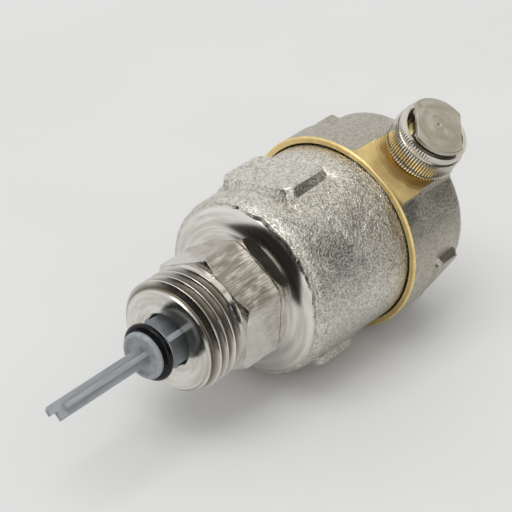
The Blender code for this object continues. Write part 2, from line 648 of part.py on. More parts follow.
def make_cast_body(carrier):
    """Cast float chamber with its spigot, domed shoulder, spanner pads and cover thread."""
    groove_high = BODY_BASE - SPIGOT_GROOVE_DROP
    groove_low = groove_high - SPIGOT_GROOVE_WIDTH
    groove_floor = SPIGOT_RADIUS - SPIGOT_GROOVE_DEPTH
    shoulder = arc((SHOULDER_INNER_RADIUS, BODY_BASE + SHOULDER_HEIGHT),
                   (BODY_RADIUS_LOW - SHOULDER_INNER_RADIUS, SHOULDER_HEIGHT), 0, -90, SHOULDER_STEPS)
    profile = [
        (0, BODY_RIM),
        (RIM_GROOVE_RADIUS, BODY_RIM),
        (RIM_GROOVE_RADIUS, BODY_RIM - RIM_GROOVE_DEPTH),
        (COVER_THREAD_RADIUS, BODY_RIM - RIM_GROOVE_DEPTH),
        (COVER_THREAD_RADIUS, BODY_LAND_TOP),
        (BODY_RADIUS_HIGH - BODY_LAND_CHAMFER, BODY_LAND_TOP),
        (BODY_RADIUS_HIGH, BODY_LAND_TOP - BODY_LAND_CHAMFER),
        (BODY_RADIUS_HIGH, COVER_RIM - GAP),
        *shoulder,
        (SPIGOT_RADIUS, BODY_BASE),
        (SPIGOT_RADIUS, groove_high),
        (groove_floor, groove_high),
        (groove_floor, groove_low),
        (SPIGOT_RADIUS, groove_low),
        (SPIGOT_RADIUS, SPIGOT_END + SPIGOT_CHAMFER),
        (SPIGOT_RADIUS - SPIGOT_CHAMFER, SPIGOT_END),
        (0, SPIGOT_END),
    ]
    body = turned("cast_body", profile, carrier, NICKEL_CAST, closed=False)
    for side, angle in enumerate((BODY_PAD_ANGLE, BODY_PAD_ANGLE + pi)):
        join(body, block(f"body_pad_{side + 1}",
                         (CHAMBER_RADIUS - GAP, -BODY_PAD_HALF_WIDTH, BODY_PAD_LOW),
                         (BODY_PAD_PLANE, BODY_PAD_HALF_WIDTH, BODY_PAD_HIGH), carrier,
                         turn=angle, rounded=(0, BODY_PAD_CORNER)))
    floor_corner = arc((CHAMBER_RADIUS - CHAMBER_FLOOR_FILLET, CHAMBER_FLOOR + CHAMBER_FLOOR_FILLET),
                       (CHAMBER_FLOOR_FILLET, CHAMBER_FLOOR_FILLET), 0, -90)
    cut(body, turned("float_chamber",
                     [(0, BODY_RIM + GAP), (CHAMBER_RADIUS, BODY_RIM + GAP), *floor_corner,
                      (INLET_RADIUS, CHAMBER_FLOOR), (INLET_RADIUS, SPIGOT_END - GAP),
                      (0, SPIGOT_END - GAP)], carrier, closed=False))


def make_cover_ring(carrier):
    """O-ring between the rim of the body and the ledge in the cover."""
    bore = COVER_THREAD_RADIUS + GAP
    wire = (bore - RIM_GROOVE_RADIUS) / 2 - RING_GAP
    ring("cover_o_ring", (bore + RIM_GROOVE_RADIUS) / 2, wire, COVER_LEDGE - RING_GAP - wire,
         carrier, BLACK_RUBBER)


def make_cover(carrier, outlet):
    """Cast cover: band, smaller crown, spanner pads, outlet boss and its milled face."""
    top = arc((COVER_RADIUS - COVER_TOP_ROUND, COVER_TOP - COVER_TOP_ROUND),
              (COVER_TOP_ROUND, COVER_TOP_ROUND), 90, 0, ROUND_STEPS)
    step_low = COVER_BAND_TOP + COVER_EDGE
    fillet = arc((COVER_RADIUS + COVER_FILLET, step_low + COVER_FILLET),
                 (COVER_FILLET, COVER_FILLET), 180, 270)
    profile = [
        (0, COVER_TOP),
        *top,
        *fillet,
        (COVER_BAND_RADIUS - COVER_EDGE, step_low),
        (COVER_BAND_RADIUS, COVER_BAND_TOP),
        (COVER_BAND_RADIUS, COVER_RIM + COVER_EDGE),
        (COVER_BAND_RADIUS - COVER_EDGE, COVER_RIM),
        (0, COVER_RIM),
    ]
    cover = turned("cover", profile, carrier, NICKEL_CAST, closed=False)
    for side, angle in enumerate((pi / 2, -pi / 2)):
        join(cover, block(f"cover_pad_{side + 1}",
                          (COVER_INNER_RADIUS - COVER_EDGE, -COVER_PAD_HALF_WIDTH, COVER_PAD_LOW),
                          (COVER_PAD_PLANE, COVER_PAD_HALF_WIDTH, COVER_PAD_HIGH), carrier,
                          turn=angle, rounded=(0, COVER_PAD_CORNER)))
    join(cover, outlet_boss(carrier))
    thread_bore = COVER_THREAD_RADIUS + GAP
    land_bore = BODY_RADIUS_HIGH + GAP
    roof = arc((COVER_INNER_RADIUS - COVER_ROOF_FILLET, COVER_ROOF - COVER_ROOF_FILLET),
               (COVER_ROOF_FILLET, COVER_ROOF_FILLET), 90, 0)
    cut(
        cover,
        turned("cover_cavity",
               [(0, COVER_ROOF), *roof, (COVER_INNER_RADIUS, COVER_LEDGE),
                (thread_bore, COVER_LEDGE), (thread_bore, COUNTERBORE_TOP + GAP),
                (land_bore, COUNTERBORE_TOP), (land_bore, COVER_RIM - GAP),
                (0, COVER_RIM - GAP)], carrier, closed=False),
        block("bracket_pocket", (SEAT_FACE, -BRACKET_HALF_WIDTH - GAP, BODY_RIM - GAP),
              (BRACKET_SEAT, BRACKET_HALF_WIDTH + GAP, COVER_ROOF), carrier),
        milling_cutter(carrier),
        rod("nozzle_hole", SHANK_HOLE_RADIUS, SEAT_FACE, COVER_BAND_RADIUS, outlet,
            steps=SMALL_STEPS),
    )


def outlet_boss(carrier):
    """The block on the crown that the outlet's face is milled on."""
    form = bmesh.new()
    bmesh.ops.create_cube(form, size=1)
    face = MILLED_FACE + COVER_EDGE
    for corner in form.verts:
        outer = corner.co.x > 0
        half = BOSS_HALF_WIDTH if outer else BOSS_ROOT_HALF_WIDTH
        corner.co = (face if outer else BOSS_ROOT,
                     half if corner.co.y > 0 else -half,
                     BOSS_TOP if corner.co.z > 0 else BOSS_LOW)
    top_edge = [edge for edge in form.edges
                if all(corner.co.x > BOSS_ROOT and corner.co.z > BOSS_LOW for corner in edge.verts)]
    bmesh.ops.bevel(form, geom=top_edge, offset=BOSS_TOP_BEVEL + COVER_EDGE, segments=2,
                    profile=0.5, affect="EDGES")
    return place("outlet_boss", form, carrier)


def milling_cutter(carrier):
    """Cutter for the flat outlet face, with its bevelled start near the rim."""
    form = bmesh.new()
    bmesh.ops.create_cube(form, size=1)
    reach = 2 * COVER_BAND_RADIUS - MILLED_FACE
    for corner in form.verts:
        outer = corner.co.x > 0
        start = MILLED_START - (reach - MILLED_FACE if outer else 0)
        corner.co = (reach if outer else MILLED_FACE,
                     COVER_BAND_RADIUS if corner.co.y > 0 else -COVER_BAND_RADIUS,
                     COVER_TOP + COVER_EDGE if corner.co.z > 0 else start)
    return place("milling_cutter", form, carrier)


def make_nozzle(outlet):
    """Outlet nozzle, its O-ring, and the nut that clamps the lever's bracket on it."""
    groove_high = MILLED_FACE - SHANK_GROOVE_SETBACK
    groove_low = groove_high - SHANK_GROOVE_WIDTH
    groove_floor = SHANK_RADIUS - SHANK_GROOVE_DEPTH
    collar_low = MILLED_FACE + GAP
    collar_high = collar_low + COLLAR_THICKNESS
    lip_top = CAP_THREAD_END + NOZZLE_LIP_HEIGHT
    profile = [
        (NOZZLE_LIP_RADIUS, lip_top),
        (NOZZLE_LIP_RADIUS, CAP_THREAD_END),
        (CAP_THREAD_RADIUS - GAP, CAP_THREAD_END),
        (CAP_THREAD_RADIUS, CAP_THREAD_END - GAP),
        (CAP_THREAD_RADIUS, collar_high),
        (COLLAR_RADIUS, collar_high),
        (COLLAR_RADIUS, collar_low),
        (SHANK_RADIUS, collar_low),
        (SHANK_RADIUS, groove_high),
        (groove_floor, groove_high),
        (groove_floor, groove_low),
        (SHANK_RADIUS, groove_low),
        (SHANK_RADIUS, SEAT_FACE + GAP),
        (SEAT_LIP_RADIUS, SEAT_FACE),
        (ORIFICE_RADIUS, SEAT_FACE),
        (ORIFICE_RADIUS, MILLED_FACE),
        (NOZZLE_BORE_RADIUS, collar_high),
        (NOZZLE_BORE_RADIUS, lip_top),
    ]
    turned("vent_nozzle", profile, outlet, BRASS, steps=NOZZLE_STEPS)
    space = SHANK_GROOVE_DEPTH + SHANK_HOLE_RADIUS - SHANK_RADIUS
    ring("nozzle_o_ring", groove_floor + space / 2, space / 2 - RING_GAP,
         (groove_high + groove_low) / 2, outlet, BLACK_RUBBER, steps=NOZZLE_STEPS)
    nut_high = BRACKET_SEAT - GAP - PLATE - GAP
    nut = hexagon("nozzle_nut", NUT_ACROSS_FLATS, nut_high - NUT_THICKNESS, nut_high, outlet, BRASS)
    cut(nut, rod("nut_bore", SHANK_HOLE_RADIUS, SEAT_FACE, BRACKET_SEAT, outlet,
                 steps=NOZZLE_STEPS))


def make_bracket(carrier, outlet):
    """Stainless bracket: a plate round the nozzle with two ears for the lever's pin."""
    outer = BRACKET_SEAT - GAP
    ear = EAR_GAP / 2
    ears_top = EAR_HIGH - PLATE
    bracket = block("lever_bracket", (EAR_TIP, -ear - PLATE, EAR_LOW), (outer, ear + PLATE, EAR_HIGH),
                    carrier, STAINLESS)
    cut(bracket, block("bracket_channel", (EAR_TIP - PLATE, -ear, EAR_LOW - PLATE),
                       (outer - PLATE, ear, EAR_HIGH + PLATE), carrier))
    join(bracket, block("bracket_plate", (outer - PLATE, -BRACKET_HALF_WIDTH, ears_top),
                        (outer, BRACKET_HALF_WIDTH, COVER_ROOF - GAP), carrier))
    cut(bracket,
        rod("bracket_nozzle_hole", SHANK_HOLE_RADIUS, outer - 2 * PLATE, outer + PLATE, outlet,
            steps=NOZZLE_STEPS),
        rod("bracket_pin_hole", PIN_RADIUS + PIN_GAP, -EAR_GAP, EAR_GAP, carrier, along="Y",
            centre=(LEVER_PIVOT_X, LEVER_PIVOT_Z)))


def make_lever(carrier):
    """Bell crank in its closed attitude; its empty leans it back to the open rest."""
    lever = rod("bell_crank", HUB_RADIUS, -HUB_LENGTH / 2, HUB_LENGTH / 2, carrier, BRASS,
                along="Y")
    half = LEVER_THICKNESS / 2
    wide = LEVER_WIDTH / 2
    float_arm = block("float_arm", (-LEVER_ARM, -half, -wide), (0, half, wide), carrier)
    eye = rod("float_eye", EYE_RADIUS, -half, half, carrier, along="Y", centre=(-LEVER_ARM, 0))
    slot = block("eye_slot", (-LEVER_ARM - EYE_SLOT, -LEVER_THICKNESS, -EYE_SLOT_RADIUS),
                 (-LEVER_ARM + EYE_SLOT, LEVER_THICKNESS, EYE_SLOT_RADIUS), carrier)
    slot_ends = [rod(f"slot_end_{side}", EYE_SLOT_RADIUS, -LEVER_THICKNESS, LEVER_THICKNESS,
                     carrier, along="Y", centre=(-LEVER_ARM + shift, 0))
                 for side, shift in (("far", -EYE_SLOT), ("near", EYE_SLOT))]
    for shape in (float_arm, eye, slot, *slot_ends):
        shape.rotation_euler = (0, LEVER_SWING, 0)
    pad_front = SEAT_FACE - PAD_CLOSED_GAP - LEVER_PIVOT_X
    cup_front = pad_front - (PAD_THICKNESS - CUP_POCKET_DEPTH + GAP)
    cup_back = cup_front - CUP_LENGTH
    seal_arm = block("seal_arm", (cup_back, -half, 0),
                     (cup_back + LEVER_WIDTH / 2, half, PAD_ARM), carrier)
    cup = rod("pad_cup", CUP_RADIUS, cup_back, cup_front, carrier, along="X",
              centre=(0, PAD_ARM), steps=NOZZLE_STEPS)
    pocket = rod("pad_pocket", PAD_RADIUS + GAP, cup_front - CUP_POCKET_DEPTH,
                 cup_front + GAP, carrier, along="X", centre=(0, PAD_ARM), steps=NOZZLE_STEPS)
    join(lever, float_arm, eye, seal_arm, cup)
    cut(lever, pocket, slot, *slot_ends,
        rod("hub_bore", PIN_RADIUS + PIN_GAP, -HUB_LENGTH, HUB_LENGTH, carrier, along="Y"))
    rod("obturator_pad", PAD_RADIUS, pad_front - PAD_THICKNESS, pad_front, carrier,
        BLACK_RUBBER, along="X", centre=(0, PAD_ARM), steps=NOZZLE_STEPS)


def make_float(carrier):
    """Hollow float: a cup on three feet, a lid with two posts, and the link pin."""
    base = CHAMBER_FLOOR + GAP + FLOAT_FEET
    inner = FLOAT_RADIUS - FLOAT_WALL
    corner = arc((FLOAT_RADIUS - FLOAT_CORNER, base + FLOAT_CORNER),
                 (FLOAT_CORNER, FLOAT_CORNER), 0, -90)
    cup = turned("float_cup", [(inner, FLOAT_CUP_TOP), (FLOAT_RADIUS, FLOAT_CUP_TOP), *corner,
                               (0, base), (0, base + FLOAT_WALL),
                               (inner - FLOAT_CORNER, base + FLOAT_WALL),
                               (inner, base + FLOAT_WALL + FLOAT_CORNER)],
                 carrier, WHITE_PLASTIC, steps=SMALL_STEPS)
    for foot in range(FLOAT_FOOT_COUNT):
        join(cup, block(f"float_foot_{foot + 1}",
                        (FLOAT_FOOT_INNER, -FLOAT_FOOT_HALF_WIDTH, base - FLOAT_FEET),
                        (FLOAT_FOOT_OUTER, FLOAT_FOOT_HALF_WIDTH, base + FLOAT_WALL / 2),
                        carrier, turn=2 * pi * foot / FLOAT_FOOT_COUNT))
    lid_low = FLOAT_CUP_TOP + GAP
    lid_high = lid_low + FLOAT_LID_THICKNESS
    plug = inner - GAP
    lid = turned("float_lid", [(0, lid_high), (FLOAT_RADIUS, lid_high), (FLOAT_RADIUS, lid_low),
                               (plug, lid_low), (plug, lid_low - FLOAT_PLUG_DEPTH),
                               (plug - FLOAT_WALL, lid_low - FLOAT_PLUG_DEPTH),
                               (plug - FLOAT_WALL, lid_low), (0, lid_low)],
                 carrier, WHITE_PLASTIC, closed=False, steps=SMALL_STEPS)
    for side in (-1, 1):
        edges = sorted((side * POST_SPREAD, side * (POST_SPREAD + POST_THICKNESS)))
        join(lid, block(f"float_post_{side + 2}",
                        (-POST_HALF_WIDTH, edges[0], lid_high - FLOAT_LID_THICKNESS / 2),
                        (POST_HALF_WIDTH, edges[1], LEVER_PIVOT_Z + POST_TOP_MARGIN), carrier))
    cut(lid, rod("link_hole", PIN_RADIUS + PIN_GAP, -FLOAT_WALL - POST_THICKNESS - POST_SPREAD,
                 FLOAT_WALL + POST_THICKNESS + POST_SPREAD, carrier, along="Y",
                 centre=(0, LEVER_PIVOT_Z)))
    pin = rivet("link_pin", 2 * (POST_SPREAD + POST_THICKNESS + PIN_GAP), carrier, STAINLESS)
    pin.location = (0, 0, LEVER_PIVOT_Z)


def make_lever_pin(carrier):
    """Pin of the bell crank, held in the bracket's ears."""
    pin = rivet("lever_pin", EAR_GAP + 2 * (PLATE + PIN_GAP), carrier, STAINLESS)
    pin.location = (LEVER_PIVOT_X, 0, LEVER_PIVOT_Z)


def knurled_sleeve(carrier):
    """Sleeve of the cap, whose lip and band are knurled and whose ring is plain."""
    profile = [
        (CAP_RING_RADIUS - CAP_EDGE, CAP_RING_END),
        (CAP_RING_RADIUS, CAP_RING_END - CAP_EDGE),
        (CAP_RING_RADIUS, CAP_BAND_END + CAP_GROOVE_WIDTH),
        (CAP_GROOVE_RADIUS, CAP_BAND_END + CAP_GROOVE_WIDTH),
        (CAP_GROOVE_RADIUS, CAP_BAND_END),
        (CAP_BAND_RADIUS, CAP_BAND_END),
        (CAP_BAND_RADIUS, CAP_LIP_END),
        (CAP_LIP_RADIUS, CAP_LIP_END),
        (CAP_LIP_RADIUS, CAP_START + CAP_EDGE),
        (CAP_LIP_RADIUS - CAP_EDGE, CAP_START),
        (CAP_THREAD_BORE, CAP_START),
        (CAP_THREAD_BORE, CAP_SOCKET_START),
        (CAP_SOCKET_RADIUS, CAP_SOCKET_START),
        (CAP_SOCKET_RADIUS, CAP_RING_END),
    ]
    form = bmesh.new()
    corners = [form.verts.new((radius, 0, height)) for radius, height in profile]
    edges = [form.edges.new((corners[index - 1], corners[index])) for index in range(len(corners))]
    bmesh.ops.spin(form, geom=corners + edges, cent=(0, 0, 0), axis=(0, 0, 1), angle=2 * pi,
                   steps=2 * KNURL_TEETH, use_merge=True)
    plain_radius = (CAP_RING_RADIUS + CAP_BAND_RADIUS - CAP_EDGE) / 2
    for corner in form.verts:
        radius = hypot(corner.co.x, corner.co.y)
        step = round(atan2(corner.co.y, corner.co.x) * KNURL_TEETH / pi)
        if radius > plain_radius and step % 2:
            corner.co.xy *= 1 - KNURL_DEPTH / radius
    bmesh.ops.recalc_face_normals(form, faces=form.faces)
    place("cap_sleeve", form, carrier, NICKEL_BRIGHT)


def make_cap(carrier):
    """Knurled sleeve and flatted plug of the vent cap."""
    knurled_sleeve(carrier)
    plug = turned("cap_plug", [(0, PLUG_FACE), (PLUG_DISC_RADIUS - PLUG_EDGE, PLUG_FACE),
                               (PLUG_DISC_RADIUS, PLUG_FACE - PLUG_EDGE),
                               (PLUG_DISC_RADIUS, PLUG_DISC_START), (PLUG_RADIUS, PLUG_DISC_START),
                               (PLUG_RADIUS, CAP_SOCKET_START + GAP),
                               (PLUG_BORE_RADIUS, CAP_SOCKET_START + GAP),
                               (PLUG_BORE_RADIUS, PLUG_DISC_START), (0, PLUG_DISC_START)],
                  carrier, NICKEL_BRIGHT, closed=False)
    for side in (0, pi):
        cut(plug, block(f"plug_flat_{1 if side else 2}",
                        (PLUG_HALF_FLATS, -PLUG_DISC_RADIUS, CAP_SOCKET_START),
                        (CAP_LIP_RADIUS, PLUG_DISC_RADIUS, PLUG_FACE + GAP), carrier,
                        turn=PLUG_TURN + side))


def make_cap_seal(carrier):
    """Rubber disc between the nozzle's lip and the plug."""
    rod("cap_seal", CAP_SEAL_RADIUS, CAP_SEAL_START, CAP_SEAL_START + CAP_SEAL_THICKNESS, carrier,
        BLACK_RUBBER, steps=SMALL_STEPS)


def main():
    """Makes the valve, body by body."""
    fitting_axis = axis_empty("fitting_axis")
    plunger_axis = axis_empty("plunger_axis")
    vent_axis = axis_empty("vent_axis")
    float_axis = axis_empty("float_axis")
    lever_axis = axis_empty("lever_axis", (LEVER_PIVOT_X, 0, LEVER_PIVOT_Z), (0, -LEVER_SWING, 0))
    outlet_axis = axis_empty("outlet_axis", (0, 0, OUTLET_HEIGHT), (0, pi / 2, 0))
    cap_axis = axis_empty("cap_axis", (0, 0, OUTLET_HEIGHT), (0, pi / 2, 0))
    make_check_fitting(fitting_axis)
    make_check_spring(fitting_axis)
    make_plunger(plunger_axis)
    make_spigot_ring(vent_axis)
    make_cast_body(vent_axis)
    make_cover_ring(vent_axis)
    make_cover(vent_axis, outlet_axis)
    make_nozzle(outlet_axis)
    make_bracket(vent_axis, outlet_axis)
    make_lever_pin(vent_axis)
    make_lever(lever_axis)
    make_float(float_axis)
    make_cap(cap_axis)
    make_cap_seal(cap_axis)
    settle_shapes()


main()
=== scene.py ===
"""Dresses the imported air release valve: threads, cast skin, knurl, metals, plastics and a table."""

from math import acos, atan2, cos, hypot, pi, radians, sin

import bmesh
import bpy
from mathutils import Matrix, Vector, noise


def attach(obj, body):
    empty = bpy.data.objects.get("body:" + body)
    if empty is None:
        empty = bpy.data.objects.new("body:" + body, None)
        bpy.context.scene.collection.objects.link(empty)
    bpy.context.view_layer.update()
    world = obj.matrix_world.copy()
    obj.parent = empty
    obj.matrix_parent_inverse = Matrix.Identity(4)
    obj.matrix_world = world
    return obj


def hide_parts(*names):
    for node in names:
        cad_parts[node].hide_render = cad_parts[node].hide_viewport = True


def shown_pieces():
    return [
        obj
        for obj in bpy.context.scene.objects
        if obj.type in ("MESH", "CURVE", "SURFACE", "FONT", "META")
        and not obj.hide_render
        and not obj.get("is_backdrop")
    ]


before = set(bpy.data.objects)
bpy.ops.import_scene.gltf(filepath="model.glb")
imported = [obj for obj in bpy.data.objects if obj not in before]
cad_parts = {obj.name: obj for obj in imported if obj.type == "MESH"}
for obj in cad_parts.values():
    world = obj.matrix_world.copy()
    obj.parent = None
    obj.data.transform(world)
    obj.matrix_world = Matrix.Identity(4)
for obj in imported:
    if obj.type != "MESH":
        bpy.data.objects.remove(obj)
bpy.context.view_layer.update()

bl_info = {
    "name": "Air release valve",
    "version": (1, 0, 0),
    "blender": (4, 5, 0),
    "location": "3D View > Sidebar > Air valve",
    "description": "Dresses the packed air release valve and sets it on a table",
    "category": "Object",
}

MM = 0.001

# Fineness, and the room that is left where corners are picked by their place
STEPS = 144
CAST_STEPS = 240
CAST_ROW = 0.5 * MM
SMALL_STEPS = 72
RING_STEPS = 96
RING_WIRE_STEPS = 28
SHARP_ANGLE = radians(38)
CORNER_ANGLE = radians(24)
WELD = 0.001 * MM
MARGIN = 0.1 * MM

# One turn of a thread: the share of the pitch and the share of the way from root to crest
THREAD_TURN = ((0.0, 0.0), (0.07, 0.02), (0.13, 0.1), (0.42, 0.91), (0.46, 0.985), (0.5, 1.0),
               (0.54, 0.985), (0.58, 0.91), (0.87, 0.1), (0.93, 0.02))

# Check fitting
MOUTH_RADIUS = 9.1975 * MM
MOUTH_CHAMFER = 1.3 * MM
PIPE_RADIUS = 10.4775 * MM
THREAD_ROOT = 9.3155 * MM
THREAD_RUNOUT = 6.5 * MM
THREAD_END = 7.65 * MM
NECK_RADIUS = 10.05 * MM
HEX_START = 8.9 * MM
HEX_TOP = 17.75 * MM
HEX_HALF = 10.15 * MM
HEX_TURNED = 11.95 * MM
HEX_FACE_RADIUS = 10.5 * MM
HEX_CHAMFER = 0.8 * MM
HEX_EDGE = 0.06 * MM
HEX_RIM_ANGLE = radians(20)
HEX_STEPS = 180
FLAT_AREA = 40 * MM * MM
CORE_GAP = 0.02 * MM
THREAD_FADE = 0.45 * MM
BORE = 4.85 * MM
SEAT_RADIUS = 5.15 * MM
SPRING_LEDGE = 4.2 * MM
SPRING_CHAMBER = 6.9 * MM
SOCKET_START = 9.2 * MM
SOCKET_RADIUS = 8.45 * MM
SOCKET_CHAMFER = 0.6 * MM

# Cast body, whose skin is rougher on the side that ROUGH_SIDE points to
ROUGH_SIDE = (0.951, 0.309)
BODY_BASE = 17.8 * MM
BODY_RIM = 49.0 * MM
BODY_LAND = 45.3 * MM
BODY_LOW_RADIUS = 16.95 * MM
BODY_HIGH_RADIUS = 17.36 * MM
BODY_HIGH = 44.1 * MM
BODY_ROWS = (22.6 * MM, 44.0 * MM)
BODY_LUMP = 2.2 * MM
SKIN_TOP = 44.3 * MM
LAND_CHAMFER = 0.4 * MM
RIM_STEP = 0.95 * MM
RIM_STEP_RADIUS = 15.9 * MM
SHOULDER_RADIUS = 10.5 * MM
SHOULDER_HEIGHT = 4.7 * MM
SHOULDER_EDGE = 12.0 * MM
MACHINED_TOP = 20.1 * MM
MACHINED_LUMP = 1.6 * MM
MACHINED_CRUMB = 0.5 * MM
MACHINED_SWAY = 0.3 * MM
BEAD_MIDDLE = 0.35 * MM
BEAD_REACH = 0.3 * MM
BEAD_HEIGHT = 0.15 * MM
BEAD_CHANGE = 0.09 * MM
CHAMBER_RADIUS = 14.9 * MM
CHAMBER_FLOOR = 22.0 * MM
CHAMBER_FILLET = 1.2 * MM
SKIN_RADIUS = 15.2 * MM
COVER_THREAD = 16.75 * MM
SPIGOT_RADIUS = 8.15 * MM
SPIGOT_END = 9.6 * MM
SPIGOT_CHAMFER = 0.6 * MM
SPIGOT_BORE = 5.0 * MM
SPIGOT_GROOVE = 6.9 * MM
SPIGOT_GROOVE_LOW = 15.2 * MM
SPIGOT_GROOVE_HIGH = 17.1 * MM
PAD_PLANE = 17.4 * MM
PAD_HALF = 8.0 * MM
PAD_LOW = 27.0 * MM
PAD_HIGH = 37.5 * MM
PAD_CORNER = 2.0 * MM
PAD_DRAFT = 0.9 * MM
PAD_ROOT = 16.0 * MM
PAD_SUNK = 4.5 * MM
PAD_EDGE = 0.4 * MM
PAD_STRIPS = 7
PAD_BORDER = 0.3 * MM
PAD_HOLLOW_REACH = 2.4 * MM
PAD_FILLET_REACH = 2.2 * MM
PAD_FILLET_FADE = 0.8 * MM
PAD_ANGLES = (radians(-45), radians(135))
PAD_NEAR = radians(60)

# Cover
COVER_RIM = 44.4 * MM
BAND_RADIUS = 18.8 * MM
BAND_TOP = 51.0 * MM
BAND_CHAMFER = 0.3 * MM
BAND_FILLET = 0.7 * MM
CROWN_RADIUS = 17.2 * MM
COVER_TOP = 62.0 * MM
TOP_ROUND = 2.0 * MM
COVER_BORE = 15.4 * MM
COVER_LEDGE = 49.3 * MM
COVER_ROOF = 60.21 * MM
ROOF_FILLET = 1.2 * MM
COVER_ROWS = (45.6 * MM, 61.9 * MM)
COVER_LUMP = 2.4 * MM
COVER_SKIN_RADIUS = 16.5 * MM
COVER_SKIN_HEIGHT = 61.6 * MM
COVER_SKIN_SHARE = 0.8
LAND_BORE = 17.66 * MM
THREAD_BORE = 17.05 * MM
COUNTERBORE_TOP = 45.7 * MM
MILLED_FACE = 17.69 * MM
MILLED_START = 45.5 * MM
MILLED_LEAST_AREA = 2 * MM * MM
BOSS_HALF = 6.0 * MM
BOSS_ROOT_HALF = 7.6 * MM
BOSS_TOP = 61.2 * MM
BOSS_ROOT = 13.2 * MM
BOSS_FRONT_ROUND = 0.8 * MM
BOSS_SIDE_ROUND = 1.0 * MM
COVER_PAD_PLANE = 17.55 * MM
COVER_PAD_ROOT = 15.9 * MM
COVER_PAD_HALF = 6.2 * MM
COVER_PAD_TALL = 2.9 * MM
COVER_PAD_MIDDLE = 56.5 * MM
COVER_PAD_CORNER = 1.3 * MM
COVER_PAD_ANGLES = (pi / 2, -pi / 2)

# Outlet and cap, whose axis lies along X at the first of these heights
OUTLET_HEIGHT = 56.25 * MM
SEAT_FACE = 13.0 * MM
SEAT_CONE = 0.3 * MM
SEAT_RIM = 1.4 * MM
ORIFICE = 0.8 * MM
OUTLET_BORE = 1.2 * MM
SHANK_RADIUS = 2.3 * MM
SHANK_GROOVE = 1.6 * MM
SHANK_GROOVE_START = 16.09 * MM
SHANK_GROOVE_END = 17.09 * MM
NOZZLE_CORE = 3.95 * MM
NOZZLE_LIP = 1.8 * MM
NOZZLE_LIP_END = 24.6 * MM
COLLAR_RADIUS = 5.3 * MM
COLLAR_LOW = 17.99 * MM
COLLAR_HIGH = 18.59 * MM
CAP_THREAD = 4.5 * MM
CAP_THREAD_ROOT = 3.97 * MM
CAP_THREAD_LEAST = 3.96 * MM
CAP_THREAD_END = 24.2 * MM
CAP_START = 19.2 * MM
CAP_LIP_END = 19.9 * MM
CAP_BAND_END = 23.2 * MM
CAP_GROOVE_END = 23.55 * MM
CAP_RING_END = 24.95 * MM
CAP_LIP_RADIUS = 6.9 * MM
CAP_BAND_RADIUS = 6.75 * MM
CAP_RING_RADIUS = 6.45 * MM
CAP_GROOVE_RADIUS = 6.2 * MM
CAP_SOCKET_RADIUS = 5.45 * MM
CAP_SOCKET_START = 22.4 * MM
CAP_BORE = 4.8 * MM
CAP_EDGE = 0.1 * MM
KNURL_CUT = (0.0, 0.4, 1.0, 0.4)
RING_KNURL_SHARE = 0.4
PLUG_RADIUS = 5.15 * MM
PLUG_BORE = 4.75 * MM
PLUG_DISC_RADIUS = 5.9 * MM
PLUG_DISC_START = 25.75 * MM
PLUG_FACE = 26.68 * MM
PLUG_SKIRT_START = 22.7 * MM
PLUG_OVERLAP = 0.02 * MM
PLUG_HALF_FLATS = 4.4 * MM
PLUG_FLATS = (radians(135), radians(-45))
PLUG_ARCS = (radians(45), radians(225))
PLUG_ARC_STEPS = 48
PLUG_SHARP = radians(20)

# Check plunger
PLUNGER_RING_HEIGHT = -4.35 * MM
PLUNGER_RING_RADIUS = 4.36 * MM
PLUNGER_RING_WIRE = 0.9 * MM
RING_GROOVE_HALF = 0.96 * MM
FLANGE_RADIUS = 4.3 * MM
FLANGE_CHAMFER = 0.3 * MM
FLANGE_FRONT = -6.21 * MM
FLANGE_BACK = -2.89 * MM
FLANGE_CORE = 3.4 * MM
POCKET_RADIUS = 3.55 * MM
POCKET_DEPTH = 0.5 * MM
BLADE_TIP = -27.51 * MM
BLADE_ROOT = -5.41 * MM
BLADE_SHORT_TIP = -24.91 * MM
BLADE_CORNER = 0.5 * MM
BLADE_NOTCH = 1.3 * MM
BLADE_HALF_WIDTH = 1.6 * MM
BLADE_HALF = 0.475 * MM
BLADE_TURN = radians(102)
FIN_RADIUS = 4.5 * MM
FIN_HALF = 0.5 * MM
FIN_TOP = 7.8 * MM
FIN_ROOT = -3.14 * MM
SNAP_RADIUS = 1.0 * MM
SNAP_START = 6.8 * MM
BARB_RADIUS = 1.6 * MM
BARB_START = 9.6 * MM
BARB_END = 10.8 * MM

# Table and camera, as directions and places in the valve's own frame
TABLE_UP = Vector((0.843, -0.538, 0)).normalized()
TABLE_HALF = 1.5
VALVE_MIDDLE = Vector((0.003, 0, 0.025))
KEY_OFFSET = Vector((0.1, -0.1, -0.35))
KEY_HEIGHT = 0.9
KEY_SIZE = 0.7
FILL_OFFSET = Vector((0.5, 0.55, -0.35))
FILL_SIZE = 0.5
CAMERA_PLACE = Vector((0.275698, 0.057897, -0.210061))
CAMERA_RIGHT = Vector((0.4108315, 0.64414787, 0.64520617))
CAMERA_UP = Vector((0.52241599, -0.74630822, 0.41243857))
CAMERA_BACK = Vector((0.74719409, 0.16762326, -0.64312007))
SENSOR_WIDTH = 36

# Screens that the metal mirrors: centre, facing, half sizes, tint and soft border, in millimetres
SCREENS = (
    ("front_screen", (30, -6, -32), (0, 0, 1), (52, 44), (0.018, 0.016, 0.014), 10),
    ("side_screen", (140, 147, 180), (-0.52, -0.55, -0.62), (130, 220), (0.02, 0.018, 0.016), 24),
    ("edge_screen", (198, -21, 178), (-0.75, 0.17, -0.62), (13, 20), (0.012, 0.011, 0.010), 3),
    ("top_screen", (235, -60, 190), (-0.75, 0.17, -0.62), (110, 130), (0.78, 0.76, 0.69), 60),
)


def colour(name, description, default):
    """Returns one colour setting."""
    return bpy.props.FloatVectorProperty(name=name, description=description, default=default,
                                         subtype="COLOR", size=3, min=0, max=1)


